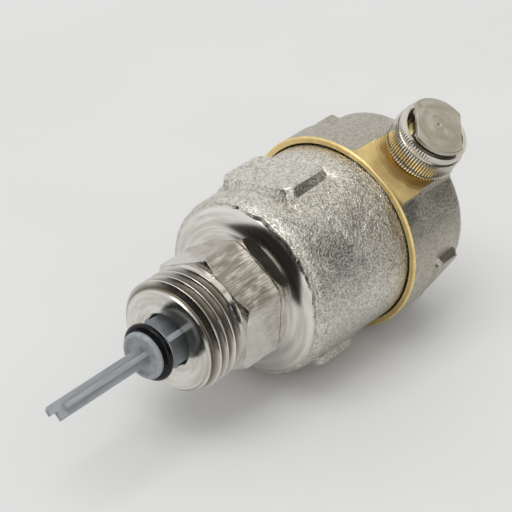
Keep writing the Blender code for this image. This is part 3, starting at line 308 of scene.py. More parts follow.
def length(name, description, default):
    """Returns one length setting, in metres."""
    return bpy.props.FloatProperty(name=name, description=description, default=default,
                                   unit="LENGTH", precision=6, min=0)


class ValveSizes(bpy.types.PropertyGroup):
    """Sizes of the details that the dressing adds."""

    pipe_pitch: length("Pipe thread pitch", "Distance between the crests of the pipe thread",
                       1.814 * MM)
    nozzle_pitch: length("Nozzle thread pitch", "Distance between the crests under the cap", 1 * MM)
    cast_relief: length("Cast relief", "Depth of the hollows in the cast skin", 0.07 * MM)
    edge: length("Edge", "Width of the broken edges on turned pieces", 0.08 * MM)
    moulded_edge: length("Moulded edge", "Rounding of the plastic plunger's edges", 0.1 * MM)
    machined_step: length("Machined step", "How far the turned shoulder lies below the cast skin",
                          0.22 * MM)
    pad_hollow: length("Pad hollow", "How far the cast skin sinks at the ends of the pads", 0.8 * MM)
    pad_fillet: length("Pad fillet", "How far the cast skin rises beside the pads", 0.5 * MM)
    knurl_depth: length("Knurl depth", "Depth of the cap's knurl", 0.3 * MM)
    knurl_teeth: bpy.props.IntProperty(name="Knurl teeth", default=76, min=12, max=120,
                                       description="Teeth round the cap's sleeve")


class ValveColours(bpy.types.PropertyGroup):
    """Colours of the valve's metals, plastics and rubber."""

    nickel: colour("Nickel", "Nickel plate in the light", (0.76, 0.735, 0.67))
    # Darker colour for the hollows and pits of the cast skin: partly grime, partly painted shade
    nickel_hollow_shade: colour("Nickel shade", "Nickel in the hollows of the cast skin",
                         (0.44, 0.42, 0.365))
    # The cover's plate is rougher than the body's, and its colours are darker copies of the body's
    # nickel: painted shade for the darker reflections on the cover
    cover_shaded_nickel: colour("Cover nickel", "Duller plate of the cover", (0.52, 0.49, 0.425))
    cover_hollow_shade: colour("Cover shade", "Hollows of the cover's skin", (0.38, 0.355, 0.30))
    bright: colour("Bright nickel", "Plated and turned faces", (0.80, 0.775, 0.73))
    bright_shade: colour("Tool marks", "The darker lines of the turning tool", (0.60, 0.575, 0.52))
    # Dark streak colour of the hexagon: brush marks, set darker as painted shade
    brushed_and_painted_shade: colour("Brush marks", "The darker streaks of the hexagon", (0.36, 0.34, 0.295))
    # Painted shade for thread roots, knurl valleys and the hexagon's fine lines; the roots are also
    # rougher
    groove_shade: colour("Grooves", "Dull metal in thread roots and knurl grooves", (0.17, 0.145, 0.105))
    plug: colour("Plug", "Satin face of the cap's plug", (0.455, 0.425, 0.34))
    brass: colour("Brass", "Bare milled brass", (0.95, 0.76, 0.38))
    brass_shade: colour("Brass shade", "The darker lines in the brass", (0.74, 0.55, 0.23))
    plastic: colour("Plunger", "Blue-grey moulded plunger", (0.37, 0.395, 0.41))
    plastic_shade: colour("Plunger shade", "Darker flow lines of the plunger", (0.29, 0.31, 0.325))
    rubber: colour("Rubber", "O-rings and washers", (0.006, 0.006, 0.0065))
    rubber_bloom: colour("Rubber bloom", "Matt patches on the rubber", (0.014, 0.014, 0.015))
    float_plastic: colour("Float", "White float and lid", (0.78, 0.78, 0.75))
    float_shade: colour("Float shade", "Darker flow lines of the float", (0.70, 0.70, 0.66))
    steel: colour("Stainless", "Wire, pins and bracket", (0.62, 0.62, 0.61))
    steel_shade: colour("Stainless shade", "Rolling lines in the steel", (0.42, 0.42, 0.41))


class StudioSettings(bpy.types.PropertyGroup):
    """Table, backdrop, lamps and lens."""

    lens: bpy.props.FloatProperty(name="Lens", description="Focal length on a 36 mm sensor",
                                  default=147.22, unit="CAMERA", min=10)
    table: colour("Table", "Pale tabletop", (0.80, 0.80, 0.79))
    backdrop: colour("Backdrop", "Pale studio wall", (0.86, 0.86, 0.86))
    ambient: bpy.props.FloatProperty(name="Ambient", description="Light from all round",
                                     default=0.8, min=0)
    key: bpy.props.FloatProperty(name="Key lamp", description="Power of the large soft lamp",
                                 default=4.0, unit="POWER", min=0)
    fill: bpy.props.FloatProperty(name="Fill lamp", description="Power of the low side lamp",
                                  default=0.5, unit="POWER", min=0)


class Wire:
    """The output of a node, which arithmetic turns into further nodes."""

    def __init__(self, board, socket):
        self.board = board
        self.socket = socket

    def combine(self, operation, first, second=0.0):
        """Adds a Math node."""
        return self.board.add("ShaderNodeMath", {"operation": operation}, {0: first, 1: second})

    def __add__(self, other):
        return self.combine("ADD", self, other)

    def __radd__(self, other):
        return self.combine("ADD", other, self)

    def __sub__(self, other):
        return self.combine("SUBTRACT", self, other)

    def __rsub__(self, other):
        return self.combine("SUBTRACT", other, self)

    def __mul__(self, other):
        return self.combine("MULTIPLY", self, other)

    def __rmul__(self, other):
        return self.combine("MULTIPLY", other, self)

    def __truediv__(self, other):
        return self.combine("DIVIDE", self, other)

    def __pow__(self, other):
        return self.combine("POWER", self, other)

    def __abs__(self):
        return self.combine("ABSOLUTE", self)


class Board:
    """The nodes of one material, or of the world."""

    def __init__(self, name, kind="materials"):
        self.owner = getattr(bpy.data, kind).new(name)
        self.owner.use_nodes = True
        self.tree = self.owner.node_tree
        self.output = next(node for node in self.tree.nodes if "Surface" in node.inputs)
        self.shader = self.output.inputs["Surface"].links[0].from_node

    def add(self, kind, settings=None, links=None, output=0):
        """Adds a node, sets it up, feeds its sockets and returns one of its outputs."""
        node = self.tree.nodes.new(kind)
        for name, value in (settings or {}).items():
            setattr(node, name, value)
        for name, value in (links or {}).items():
            self.feed(node.inputs[name], value)
        return Wire(self, node.outputs[output])

    def feed(self, socket, value):
        """Links a wire to a socket, or sets the socket's own value."""
        if isinstance(value, Wire):
            self.tree.links.new(value.socket, socket)
        elif socket.type == "RGBA" and len(value) == 3:
            socket.default_value = (*value, 1)
        else:
            socket.default_value = value

    def millimetres(self, centre=(0, 0, 0)):
        """Object coordinates in millimetres, from a centre."""
        place = self.add("ShaderNodeTexCoord", output="Object")
        moved = self.add("ShaderNodeVectorMath", {"operation": "SUBTRACT"}, {0: place, 1: centre})
        return self.add("ShaderNodeVectorMath", {"operation": "SCALE"}, {0: moved, 3: 1 / MM})

    def parts(self, vector):
        """The three numbers of a vector."""
        x = self.add("ShaderNodeSeparateXYZ", None, {0: vector})
        node = x.socket.node
        return x, Wire(self, node.outputs[1]), Wire(self, node.outputs[2])

    def joined(self, x, y, z):
        """A vector from three numbers."""
        return self.add("ShaderNodeCombineXYZ", None, {0: x, 1: y, 2: z})

    def distance(self, x, y):
        """Distance from an axis."""
        return (x * x + y * y) ** 0.5

    def turn(self, x, y):
        """The turn round an axis, in radians."""
        return self.add("ShaderNodeMath", {"operation": "ARCTAN2"}, {0: y, 1: x})

    def own(self, name):
        """A number that the mesh carries at its corners."""
        return self.add("ShaderNodeAttribute", {"attribute_name": name}, output="Fac")

    def cloud(self, vector, scale, detail=2.0, roughness=0.5, twist=0.0):
        """Soft noise from 0 to 1 with so many lumps to a millimetre."""
        return self.add("ShaderNodeTexNoise", None,
                        {"Vector": vector, "Scale": scale, "Detail": detail, "Roughness": roughness,
                         "Distortion": twist})

    def between(self, value, low, high):
        """0 below low, 1 above high, smooth between."""
        return self.add("ShaderNodeMapRange", {"interpolation_type": "SMOOTHSTEP"},
                        {"Value": value, "From Min": low, "From Max": high})

    def mix(self, share, first, second):
        """A colour between two colours."""
        return self.add("ShaderNodeMix", {"data_type": "RGBA"}, {0: share, 6: first, 7: second},
                        output=2)

    def relief(self, height, depth):
        """A normal from a height of 0 to 1 and the depth that it stands for."""
        return self.add("ShaderNodeBump", None, {"Height": height, "Distance": depth})

    def show(self, share, first, second):
        """Sends a mixture of two shaders to the output."""
        mixed = self.add("ShaderNodeMixShader", None, {0: share, 1: first, 2: second})
        self.tree.links.new(mixed.socket, self.output.inputs["Surface"])

    def finish(self, base, roughness, metallic=0.0, normal=None, specular=0.5):
        """Feeds the shader and returns the material."""
        self.feed(self.shader.inputs["Base Color"], base)
        self.feed(self.shader.inputs["Roughness"], roughness)
        self.shader.inputs["Metallic"].default_value = metallic
        self.shader.inputs["Specular IOR Level"].default_value = specular
        if normal:
            self.feed(self.shader.inputs["Normal"], normal)
        return self.owner


def cast_nickel(name, light, shade, grain=1.0, turned=False):
    """Blasted and plated casting, its hollows and pits painted darker (partly grime, partly painted
    shade); where its mesh says turned, smooth with fine tool rings.
    """
    colours = bpy.context.scene.valve_colours
    board = Board(name)
    place = board.millimetres()
    fine = board.cloud(place, 2.3, 2, 0.55, 0.9)
    worms = board.cloud(place, 1.25, 2, 0.6, 0.6)
    broad = board.cloud(place, 0.16, 2)
    x, y, z = board.parts(place)
    facing = (x * ROUGH_SIDE[0] + y * ROUGH_SIDE[1]) / board.distance(x, y)
    rough_side = board.between(facing, 0.70, 0.95)
    pits = board.between(board.cloud(place, 1.1, 2, 0.5, 0.3), 0.66, 0.74)
    strength = 0.30 + (0.25 + board.between(broad, 0.38, 0.62) * 0.75) * rough_side
    height = (fine * 0.9 + worms * 0.5 - pits * 0.35) * strength
    # Low spots of the skin take the darker colour: painted shade in the hollows, with some grime
    skin = board.between(fine * 0.7 + worms * 0.3, 0.40, 0.56)
    base = board.mix(skin, shade, light)
    # Pits are painted darker still: painted shade
    base = board.mix(pits * 0.55, base, colours.nickel_hollow_shade)
    roughness = 0.24 + 0.2 * (1 - grain) + (1 - skin) * 0.08 + broad * 0.06
    total = height * (0.36 * grain)
    if turned:
        share = board.own("turned")
        radius = board.distance(x, y)
        rings = board.cloud(board.joined(radius * 2.6, z * 2.6, 0.0), 2.0, 3, 0.7)
        smears = board.cloud(board.joined(radius * 0.9, z * 0.9, board.turn(x, y) * 1.4), 1.2, 2)
        tooled = board.mix(board.between(rings * 0.4 + smears * 0.6, 0.38, 0.60),
                           colours.bright_shade, colours.bright)
        base = board.mix(share, base, tooled)
        roughness = roughness * (1 - share) + (0.13 + smears * 0.08) * share
        total = total * (1 - share) + rings * 0.004 * share
    return board.finish(base, roughness, 1.0, board.relief(total, MM))


def turned_nickel(name, outlet=False, light=None, dull=0.0, groove_shade=False, dimple=0.0):
    """Metal with tool rings round Z or the outlet's axis; where its mesh marks a root or knurl valley,
    painted shade darkens it and the finish is rougher.
    """
    colours = bpy.context.scene.valve_colours
    board = Board(name)
    place = board.millimetres((0, 0, OUTLET_HEIGHT if outlet else 0))
    x, y, z = board.parts(place)
    first, second, third = (z, y, x) if outlet else (x, y, z)
    radius = board.distance(first, second)
    turn = board.turn(second, first)
    rings = board.cloud(board.joined(radius * 3.0, third * 3.0, turn * 0.3), 2.4, 3, 0.65)
    bands = board.cloud(board.joined(radius * 0.7, third * 0.7, turn * 0.9), 1.1, 2)
    blots = board.cloud(place, 0.7, 3, 0.6)
    base = board.mix(board.between(rings * 0.35 + bands * 0.65, 0.38, 0.60), colours.bright_shade,
                     light or colours.bright)
    roughness = dull + 0.12 + rings * 0.08 + board.between(blots, 0.5, 0.75) * 0.08
    # Painted shade in the roots and knurl valleys, and a duller finish there
    if groove_shade:
        depth = board.own("groove_shade")
        base = board.mix(depth * 0.92, base, colours.groove_shade)
        roughness = roughness + depth * 0.22
    punched = board.between(radius, 0.1, 0.5) * dimple
    normal = board.relief((rings + blots * 0.3) * 0.005 + punched, MM)
    return board.finish(base, roughness, 1.0, normal)


def hexagon_nickel(name):
    """Plated spanner flats with brushed streaks along the axis, most on those that face X; the
    streaks' darkness and their larger share on the X flats are painted shade for darker reflections
    there.
    """
    colours = bpy.context.scene.valve_colours
    board = Board(name)
    place = board.millimetres()
    x, y, z = board.parts(place)
    brush = board.cloud(board.joined(x * 2.4, y * 2.4, z * 0.14), 1.6, 3, 0.7)
    patch = board.cloud(board.joined(x * 1.0, y * 1.0, z * 0.35), 0.8, 3, 0.6)
    line = board.between(board.cloud(board.joined(x * 3.0, y * 3.0, z * 0.3), 2.9, 2), 0.60, 0.68)
    # The flats that face X take more of the dark streaks: painted shade
    streaks_and_x_flat_shade = 0.35 + board.between(abs(x) / board.distance(x, y), 0.75, 0.9) * 0.65
    streak = 1 - (1 - board.between(brush * 0.55 + patch * 0.45, 0.42, 0.66)) * streaks_and_x_flat_shade
    base = board.mix(streak, colours.brushed_and_painted_shade, colours.bright)
    # Fine lines painted in the dark root colour: painted shade
    base = board.mix(line * 0.25, base, colours.groove_shade)
    roughness = 0.10 + brush * 0.10 + board.between(patch, 0.4, 0.7) * 0.10
    normal = board.relief(brush * 0.7 - line * 0.4 + patch * 1.4, 0.022 * MM)
    return board.finish(base, roughness, 1.0, normal)


def milled_brass(name, rings_per_mm=2.6):
    """Bare brass with the arcs that the cutter leaves round the outlet's axis."""
    colours = bpy.context.scene.valve_colours
    board = Board(name)
    place = board.millimetres((0, 0, OUTLET_HEIGHT))
    x, y, z = board.parts(place)
    radius = board.distance(y, z)
    arcs = board.cloud(board.joined(radius * rings_per_mm, x * 2.0, 0.0), 2.0, 3, 0.7)
    tarnish = board.cloud(place, 0.35, 3, 0.55)
    shade = board.between(arcs * 0.65 + tarnish * 0.35, 0.36, 0.64)
    base = board.mix(shade, colours.brass_shade, colours.brass)
    roughness = 0.36 + arcs * 0.14 + board.between(tarnish, 0.45, 0.7) * 0.1
    return board.finish(base, roughness, 1.0, board.relief(arcs, 0.02 * MM))


def moulded_plastic(name, base, shade, roughness, lumps=0.8):
    """Moulded plastic: soft clouding, faint flow lines and a fine satin skin."""
    board = Board(name)
    place = board.millimetres()
    x, y, z = board.parts(place)
    skin = board.cloud(place, 5.5, 2, 0.6)
    flow = board.cloud(board.joined(x * 1.4, y * 1.4, z * 0.22), lumps, 3, 0.6)
    tint = board.mix(board.between(flow, 0.32, 0.70), shade, base)
    dull = roughness + (flow - 0.5) * 0.18 + (skin - 0.5) * 0.10
    return board.finish(tint, dull, 0.0, board.relief(skin * 0.35 + flow * 0.65, 0.025 * MM))


def oiled_rubber(name):
    """Black rubber with a film of oil, and a few matt patches."""
    colours = bpy.context.scene.valve_colours
    board = Board(name)
    place = board.millimetres()
    film = board.cloud(place, 0.9, 3, 0.6)
    skin = board.cloud(place, 5.0, 2)
    base = board.mix(board.between(film, 0.5, 0.8), colours.rubber, colours.rubber_bloom)
    roughness = 0.10 + board.between(film, 0.45, 0.75) * 0.14
    normal = board.relief(skin + film, 0.006 * MM)
    return board.finish(base, roughness, 0.0, normal, specular=0.2)


def drawn_steel(name):
    """Stainless wire and sheet, with fine rolling lines."""
    colours = bpy.context.scene.valve_colours
    board = Board(name)
    place = board.millimetres()
    x, y, z = board.parts(place)
    lines = board.cloud(board.joined(x * 0.6, y * 5.0, z * 5.0), 1.6, 3, 0.6)
    base = board.mix(board.between(lines, 0.35, 0.65), colours.steel_shade, colours.steel)
    return board.finish(base, 0.22 + lines * 0.16, 1.0, board.relief(lines, 0.01 * MM))


def everything(form):
    """Every corner, edge and face of a shape."""
    return form.verts[:] + form.edges[:] + form.faces[:]


def soften(form, geom, offset, segments=2, affect="EDGES"):
    """Rounds edges or corners."""
    bmesh.ops.bevel(form, geom=geom, offset=offset, segments=segments, profile=0.5,
                    affect=affect, material=-1)


def spin_round(form, steps, climb=0.0):
    """Spins a profile once round Z; a thread's profile climbs on the way."""
    bmesh.ops.spin(form, geom=form.verts[:] + form.edges[:], cent=(0, 0, 0), axis=(0, 0, 1),
                   dvec=(0, 0, climb / steps), angle=2 * pi, steps=steps, use_merge=not climb)


def slice_plane(form, point, normal, clear=False, geom=None):
    """Cuts a shape along a plane, may clear what lies beyond it, and returns the cut."""
    return bmesh.ops.bisect_plane(form, geom=geom or everything(form), dist=WELD / 10,
                                  plane_co=point, plane_no=normal, clear_outer=clear)["geom_cut"]


def pull_out(form, face, way, keep=False):
    """Pulls a face out along a vector, which makes a solid of it."""
    grown = bmesh.ops.extrude_face_region(form, geom=[face], use_keep_orig=keep)["geom"]
    moved = [item for item in grown if isinstance(item, bmesh.types.BMVert)]
    bmesh.ops.translate(form, vec=way, verts=moved)
    bmesh.ops.recalc_face_normals(form, faces=form.faces)


def turn_form(form, angle, axis="Z"):
    """Turns a shape about an axis through the origin."""
    bmesh.ops.rotate(form, cent=(0, 0, 0), matrix=Matrix.Rotation(angle, 3, axis), verts=form.verts)


def from_axis(corner):
    """Distance of a corner from Z."""
    return hypot(corner.co.x, corner.co.y)


def side_facing(angle):
    """The level direction at an angle round Z."""
    return Vector((cos(angle), sin(angle), 0))


def edge_way(wire):
    """The direction of an edge."""
    return (wire.verts[0].co - wire.verts[1].co).normalized()


def shift(moves):
    """Moves corners, each by its own vector."""
    for corner, move in moves:
        corner.co += move


def put_in_scene(form, name):
    """Makes an object from a bmesh."""
    mesh = bpy.data.meshes.new(name)
    form.to_mesh(mesh)
    form.free()
    thing = bpy.data.objects.new(name, mesh)
    bpy.context.scene.collection.objects.link(thing)
    return thing


def corner_is_sharp(corner, room):
    """True where two edges of a wire profile meet at an angle with room for a rounding."""
    if len(corner.link_edges) != 2:
        return False
    arms = [edge.other_vert(corner).co - corner.co for edge in corner.link_edges]
    if min(arm.length for arm in arms) < room:
        return False
    return (pi - arms[0].angle(arms[1])) > CORNER_ANGLE


def lathe(profile, steps=STEPS, edge=0.0, closed=True, row=0.0, rows=(0, 0)):
    """Turns a profile of (radius, height) points round Z, its sharp corners broken by edge."""
    form = bmesh.new()
    corners = [form.verts.new((radius, 0, height)) for radius, height in profile]
    pairs = list(zip(corners, corners[1:]))
    if closed:
        pairs.append((corners[-1], corners[0]))
    for start, end in pairs:
        form.edges.new((start, end))
    if edge:
        sharp = [corner for corner in form.verts if corner_is_sharp(corner, 2.3 * edge)]
        soften(form, sharp, edge, affect="VERTICES")
    if row:
        for wire in list(form.edges):
            middle = (wire.verts[0].co + wire.verts[1].co) / 2
            if rows[0] <= middle.z <= rows[1] and wire.calc_length() > row:
                bmesh.ops.subdivide_edges(form, edges=[wire], cuts=int(wire.calc_length() / row))
    spin_round(form, steps)
    tidy(form)
    return form


def tidy(form):
    """Merges doubles and turns the faces outwards."""
    bmesh.ops.remove_doubles(form, verts=form.verts, dist=WELD)
    bmesh.ops.recalc_face_normals(form, faces=form.faces)


def arc(centre, radii, start, end, steps):
    """Points of an elliptical arc in a profile, angles in degrees from the outward side."""
    points = []
    for step in range(steps + 1):
        angle = radians(start + (end - start) * step / steps)
        points.append((centre[0] + radii[0] * cos(angle), centre[1] + radii[1] * sin(angle)))
    return points


def onto_outlet(form):
    """Lays a shape turned round Z along X, on the outlet's axis."""
    turn_form(form, pi / 2, "Y")
    bmesh.ops.translate(form, vec=(0, 0, OUTLET_HEIGHT), verts=form.verts)


def slab(low, high, edge=0.0):
    """A block between two corners, its edges rounded."""
    form = bmesh.new()
    bmesh.ops.create_cube(form, size=1)
    bmesh.ops.scale(form, vec=[b - a for a, b in zip(low, high)], verts=form.verts)
    bmesh.ops.translate(form, vec=[(a + b) / 2 for a, b in zip(low, high)], verts=form.verts)
    if edge:
        soften(form, form.edges[:], edge)
    return form


def merge(*forms):
    """Puts several shapes in one bmesh."""
    whole = forms[0]
    for form in forms[1:]:
        carried = bpy.data.meshes.new("carried")
        form.to_mesh(carried)
        form.free()
        whole.from_mesh(carried)
        bpy.data.meshes.remove(carried)
    return whole


def piece(name, form, body, finishes, node, weighted=True, sharp=SHARP_ANGLE):
    """Makes a finished piece that rides on a body and stands for a CAD node."""
    thing = put_in_scene(form, name)
    for finish in finishes:
        thing.data.materials.append(finish)
    thing.data.shade_smooth()
    thing.data.set_sharp_from_angle(angle=sharp)
    if weighted:
        flat = thing.modifiers.new("Even faces", "WEIGHTED_NORMAL")
        flat.keep_sharp = True
    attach(thing, body)
    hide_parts(node)


def cut_flat(form, point, normal):
    """Takes off what lies beyond a plane and closes the face."""
    cut = slice_plane(form, point, normal, clear=True)
    rim = [item for item in cut if isinstance(item, bmesh.types.BMEdge)]
    bmesh.ops.edgeloop_fill(form, edges=rim)


def helix(pitch, root, crest, low, high, steps=STEPS):
    """A thread's skin: a profile of several turns, spun once while it climbs one pitch."""
    form = bmesh.new()
    groove_shade = form.verts.layers.float.new("groove_shade")
    first = low - 1.5 * pitch
    turns = int((high - first) / pitch) + 2
    corners = []
    for turn in range(turns):
        for along, out in THREAD_TURN:
            corner = form.verts.new((root + (crest - root) * out, 0, first + (turn + along) * pitch))
            # Painted shade share: full in the thread's roots, none at its crests
            corner[groove_shade] = 1 - ramp(out, 0.3, 0.96)
            corners.append(corner)
    for start, end in zip(corners, corners[1:]):
        form.edges.new((start, end))
    spin_round(form, steps, climb=pitch)
    bmesh.ops.remove_doubles(form, verts=form.verts, dist=WELD)
    slice_plane(form, (0, 0, low), (0, 0, -1), clear=True)
    slice_plane(form, (0, 0, high), (0, 0, 1), clear=True)
    return form


def limit_radius(form, smallest, largest):
    """Keeps a shape between two radii that depend on height."""
    for corner in form.verts:
        radius = from_axis(corner)
        wanted = min(max(radius, smallest(corner.co.z)), largest(corner.co.z))
        corner.co.xy *= wanted / radius


def outward(form):
    """Turns the faces of an open skin away from Z."""
    bmesh.ops.recalc_face_normals(form, faces=form.faces)
    form.normal_update()
    sample = max(form.faces, key=lambda face: face.calc_area())
    if sample.normal.xy.dot(sample.calc_center_median().xy) < 0:
        bmesh.ops.reverse_faces(form, faces=form.faces)


def roughen(form, cell, depth, share):
    """Sinks a cast skin by soft hollows, by a share that depends on the place."""
    form.normal_update()
    moves = []
    for corner in form.verts:
        amount = share(corner)
        if amount:
            lump = noise.noise(corner.co / cell) + 0.5 * noise.noise(corner.co * 2.3 / cell)
            moves.append((corner, corner.normal * depth * amount * (0.5 * lump - 0.5)))
    shift(moves)


def ramp(value, low, high):
    """0 at low, 1 at high, straight between."""
    return min(max((value - low) / (high - low), 0), 1)


class AIRVALVE_OT_fitting(bpy.types.Operator):
    """Turns the check fitting: bore and mouth, the pipe thread and the spanner hexagon"""

    bl_idname = "airvalve.fitting"
    bl_label = "Check fitting"

    def execute(self, context):
        sizes = context.scene.valve_sizes
        core = lathe([
            (MOUTH_RADIUS, 0),
            (SEAT_RADIUS, 0),
            (BORE, SEAT_RADIUS - BORE),
            (BORE, SPRING_LEDGE),
            (SPRING_CHAMBER, SPRING_LEDGE),
            (SPRING_CHAMBER, SOCKET_START),
            (NECK_RADIUS, SOCKET_START),
            (NECK_RADIUS, THREAD_END - CORE_GAP),
            (MOUTH_RADIUS - CORE_GAP, THREAD_END - CORE_GAP),
            (MOUTH_RADIUS - CORE_GAP, CORE_GAP),
        ])
        thread = helix(sizes.pipe_pitch, THREAD_ROOT, PIPE_RADIUS, 0, THREAD_END)

        def least(height):
            filled = ramp(height, THREAD_RUNOUT, THREAD_END)
            return THREAD_ROOT + (NECK_RADIUS - THREAD_ROOT) * filled ** 2

        def most(height):
            mouth = MOUTH_RADIUS + (PIPE_RADIUS - MOUTH_RADIUS) * ramp(height, 0, MOUTH_CHAMFER)
            faded = ramp(height, THREAD_END - THREAD_FADE, THREAD_END)
            return min(mouth, PIPE_RADIUS - (PIPE_RADIUS - NECK_RADIUS) * faded)

        limit_radius(thread, least, most)
        outward(thread)
        hexagon = lathe([
            (HEX_FACE_RADIUS, HEX_START),
            (HEX_TURNED, HEX_START + HEX_CHAMFER),
            (HEX_TURNED, HEX_TOP - HEX_CHAMFER),
            (HEX_FACE_RADIUS, HEX_TOP),
            (SOCKET_RADIUS + SOCKET_CHAMFER, HEX_TOP),
            (SOCKET_RADIUS, HEX_TOP - SOCKET_CHAMFER),
            (SOCKET_RADIUS, HEX_START),
        ], steps=HEX_STEPS)
        for side in range(6):
            facing = side_facing(side * pi / 3)
            cut_flat(hexagon, facing * HEX_HALF, facing)
        tidy(hexagon)
        flats = [face for face in hexagon.faces if face.calc_area() > FLAT_AREA]
        rims = [wire for wire in hexagon.edges
                if wire.calc_face_angle(0) > HEX_RIM_ANGLE
                and any(face in flats for face in wire.link_faces)]
        soften(hexagon, rims, HEX_EDGE)
        for face in hexagon.faces:
            face.material_index = 1
        piece("fitting_turned", merge(thread, core, hexagon), "fitting",
              [turned_nickel("fitting_nickel", groove_shade=True), hexagon_nickel("hexagon_nickel")],
              "check_fitting")
        return {"FINISHED"}


class AIRVALVE_OT_body(bpy.types.Operator):
    """Casts the float chamber with its domed shoulder and spanner pads"""

    bl_idname = "airvalve.body"
    bl_label = "Cast body"

    def execute(self, context):
        sizes = context.scene.valve_sizes
        colours = context.scene.valve_colours
        shoulder = arc((SHOULDER_RADIUS, BODY_BASE + SHOULDER_HEIGHT),
                       (BODY_LOW_RADIUS - SHOULDER_RADIUS, SHOULDER_HEIGHT), 0, -90, 44)
        form = lathe([
            (RIM_STEP_RADIUS, BODY_RIM),
            (RIM_STEP_RADIUS, BODY_RIM - RIM_STEP),
            (COVER_THREAD, BODY_RIM - RIM_STEP),
            (COVER_THREAD, BODY_LAND),
            (BODY_HIGH_RADIUS - LAND_CHAMFER, BODY_LAND),
            (BODY_HIGH_RADIUS, BODY_LAND - LAND_CHAMFER),
            (BODY_HIGH_RADIUS, BODY_HIGH),
            *shoulder,
            (SPIGOT_RADIUS, BODY_BASE),
            (SPIGOT_RADIUS, SPIGOT_GROOVE_HIGH),
            (SPIGOT_GROOVE, SPIGOT_GROOVE_HIGH),
            (SPIGOT_GROOVE, SPIGOT_GROOVE_LOW),
            (SPIGOT_RADIUS, SPIGOT_GROOVE_LOW),
            (SPIGOT_RADIUS, SPIGOT_END + SPIGOT_CHAMFER),
            (SPIGOT_RADIUS - SPIGOT_CHAMFER, SPIGOT_END),
            (SPIGOT_BORE, SPIGOT_END),
            (SPIGOT_BORE, CHAMBER_FLOOR),
            (CHAMBER_RADIUS - CHAMBER_FILLET, CHAMBER_FLOOR),
            (CHAMBER_RADIUS, CHAMBER_FLOOR + CHAMBER_FILLET),
            (CHAMBER_RADIUS, BODY_RIM),
        ], steps=CAST_STEPS, row=CAST_ROW, rows=BODY_ROWS)

        def cast_share(corner):
            if in_chamber(corner) or from_axis(corner) < SHOULDER_EDGE or corner.co.z > SKIN_TOP:
                return 0
            return ramp(corner.co.z, MACHINED_TOP, MACHINED_TOP + MM)

        roughen(form, BODY_LUMP, sizes.cast_relief, cast_share)
        shape_round_pads(form, sizes.pad_hollow, sizes.pad_fillet)
        turn_shoulder(form, sizes.machined_step)
        halves = (PAD_HALF, (PAD_HIGH - PAD_LOW) / 2)
        pads = [cast_pad(PAD_PLANE, PAD_ROOT, halves, (PAD_LOW + PAD_HIGH) / 2, PAD_CORNER, angle, 1)
                for angle in PAD_ANGLES]
        piece("body_casting", merge(form, *pads), "vent",
              [cast_nickel("body_nickel", colours.nickel, colours.nickel_hollow_shade, turned=True),
               cast_nickel("pad_nickel", colours.nickel, colours.nickel_hollow_shade, grain=0.35)],
              "cast_body")
        return {"FINISHED"}


def in_chamber(corner):
    """True on the walls of the float chamber, which stay smooth."""
    return corner.co.z > CHAMBER_FLOOR - 5 * MARGIN and from_axis(corner) < SKIN_RADIUS


def shape_round_pads(form, hollow, fillet):
    """Sinks the cast skin at the ends of the spanner pads and raises it beside them."""
    for corner in form.verts:
        radius = from_axis(corner)
        if radius < PAD_ROOT - 5 * MARGIN:
            continue
        for angle in PAD_ANGLES:
            turn = atan2(corner.co.y, corner.co.x) - angle
            if cos(turn) < cos(PAD_NEAR):
                continue
            along = abs(radius * sin(turn))
            beside = max(along - PAD_HALF, 0)
            beyond = max(PAD_LOW - corner.co.z, corner.co.z - PAD_HIGH, 0)
            far = ramp(hypot(beside, beyond), PAD_BORDER, PAD_HOLLOW_REACH)
            off = ramp(abs(along - PAD_HALF - PAD_BORDER), 0, PAD_FILLET_REACH)
            sunk = hollow * (1 - far) ** 2 * (beyond > 0)
            raised = fillet * (1 - off) ** 2 * (1 - ramp(beyond, 0, PAD_FILLET_FADE))
            corner.co.xy *= 1 + (raised - sunk) / radius


def turn_shoulder(form, depth):
    """Sinks the turned part of the shoulder below the cast skin, up to an uneven beaded edge."""
    turned = form.verts.layers.float.new("turned")
    form.normal_update()
    moves = []
    for corner in form.verts:
        if in_chamber(corner):
            continue
        radius = from_axis(corner)
        round_place = Vector((corner.co.x, corner.co.y, 0)) * (SHOULDER_EDGE / radius)
        lump = noise.noise(round_place / MACHINED_LUMP)
        lump += 0.6 * noise.noise(round_place / MACHINED_CRUMB)
        edge = MACHINED_TOP + MACHINED_SWAY * lump
        share = 1 - ramp(corner.co.z, edge - MARGIN, edge + 1.5 * MARGIN)
        corner[turned] = share
        reach = (corner.co.z - edge - BEAD_MIDDLE) / BEAD_REACH
        bead = max(0, 1 - reach * reach) * (BEAD_HEIGHT + BEAD_CHANGE * lump)
        sink = depth * share * ramp(radius, SHOULDER_RADIUS, SHOULDER_EDGE)
        moves.append((corner, corner.normal * (bead * (radius > SHOULDER_EDGE) - sink)))
    shift(moves)


def cast_pad(plane, root, halves, middle, corner_round, angle, front_finish=0):
    """A spanner pad with drafted sides that run into the wall, turned to its place."""
    half, tall = halves
    form = slab((root - PAD_SUNK, -half, middle - tall), (plane, half, middle + tall))
    for corner in form.verts:
        if corner.co.x < root - MM:
            corner.co.y *= (half + PAD_DRAFT) / half
            corner.co.z = middle + (corner.co.z - middle) * (tall + PAD_DRAFT) / tall
    soften(form, [wire for wire in form.edges if abs(edge_way(wire).x) > 0.6], corner_round, 6)
    form.normal_update()
    front = max(form.faces, key=lambda face: face.normal.x)
    soften(form, list(front.edges), PAD_EDGE, 4)
    form.normal_update()
    for face in form.faces:
        face.material_index = front_finish if face.normal.x > 0.99 else 0
    for strip in range(-PAD_STRIPS, PAD_STRIPS + 1):
        slice_plane(form, (0, strip * half / PAD_STRIPS, 0), (0, 1, 0))
    for corner in form.verts:
        if corner.co.x < root - PAD_SUNK + MARGIN:
            corner.co.x = (root * root - corner.co.y ** 2) ** 0.5
    turn_form(form, angle)
    bmesh.ops.recalc_face_normals(form, faces=form.faces)
    return form


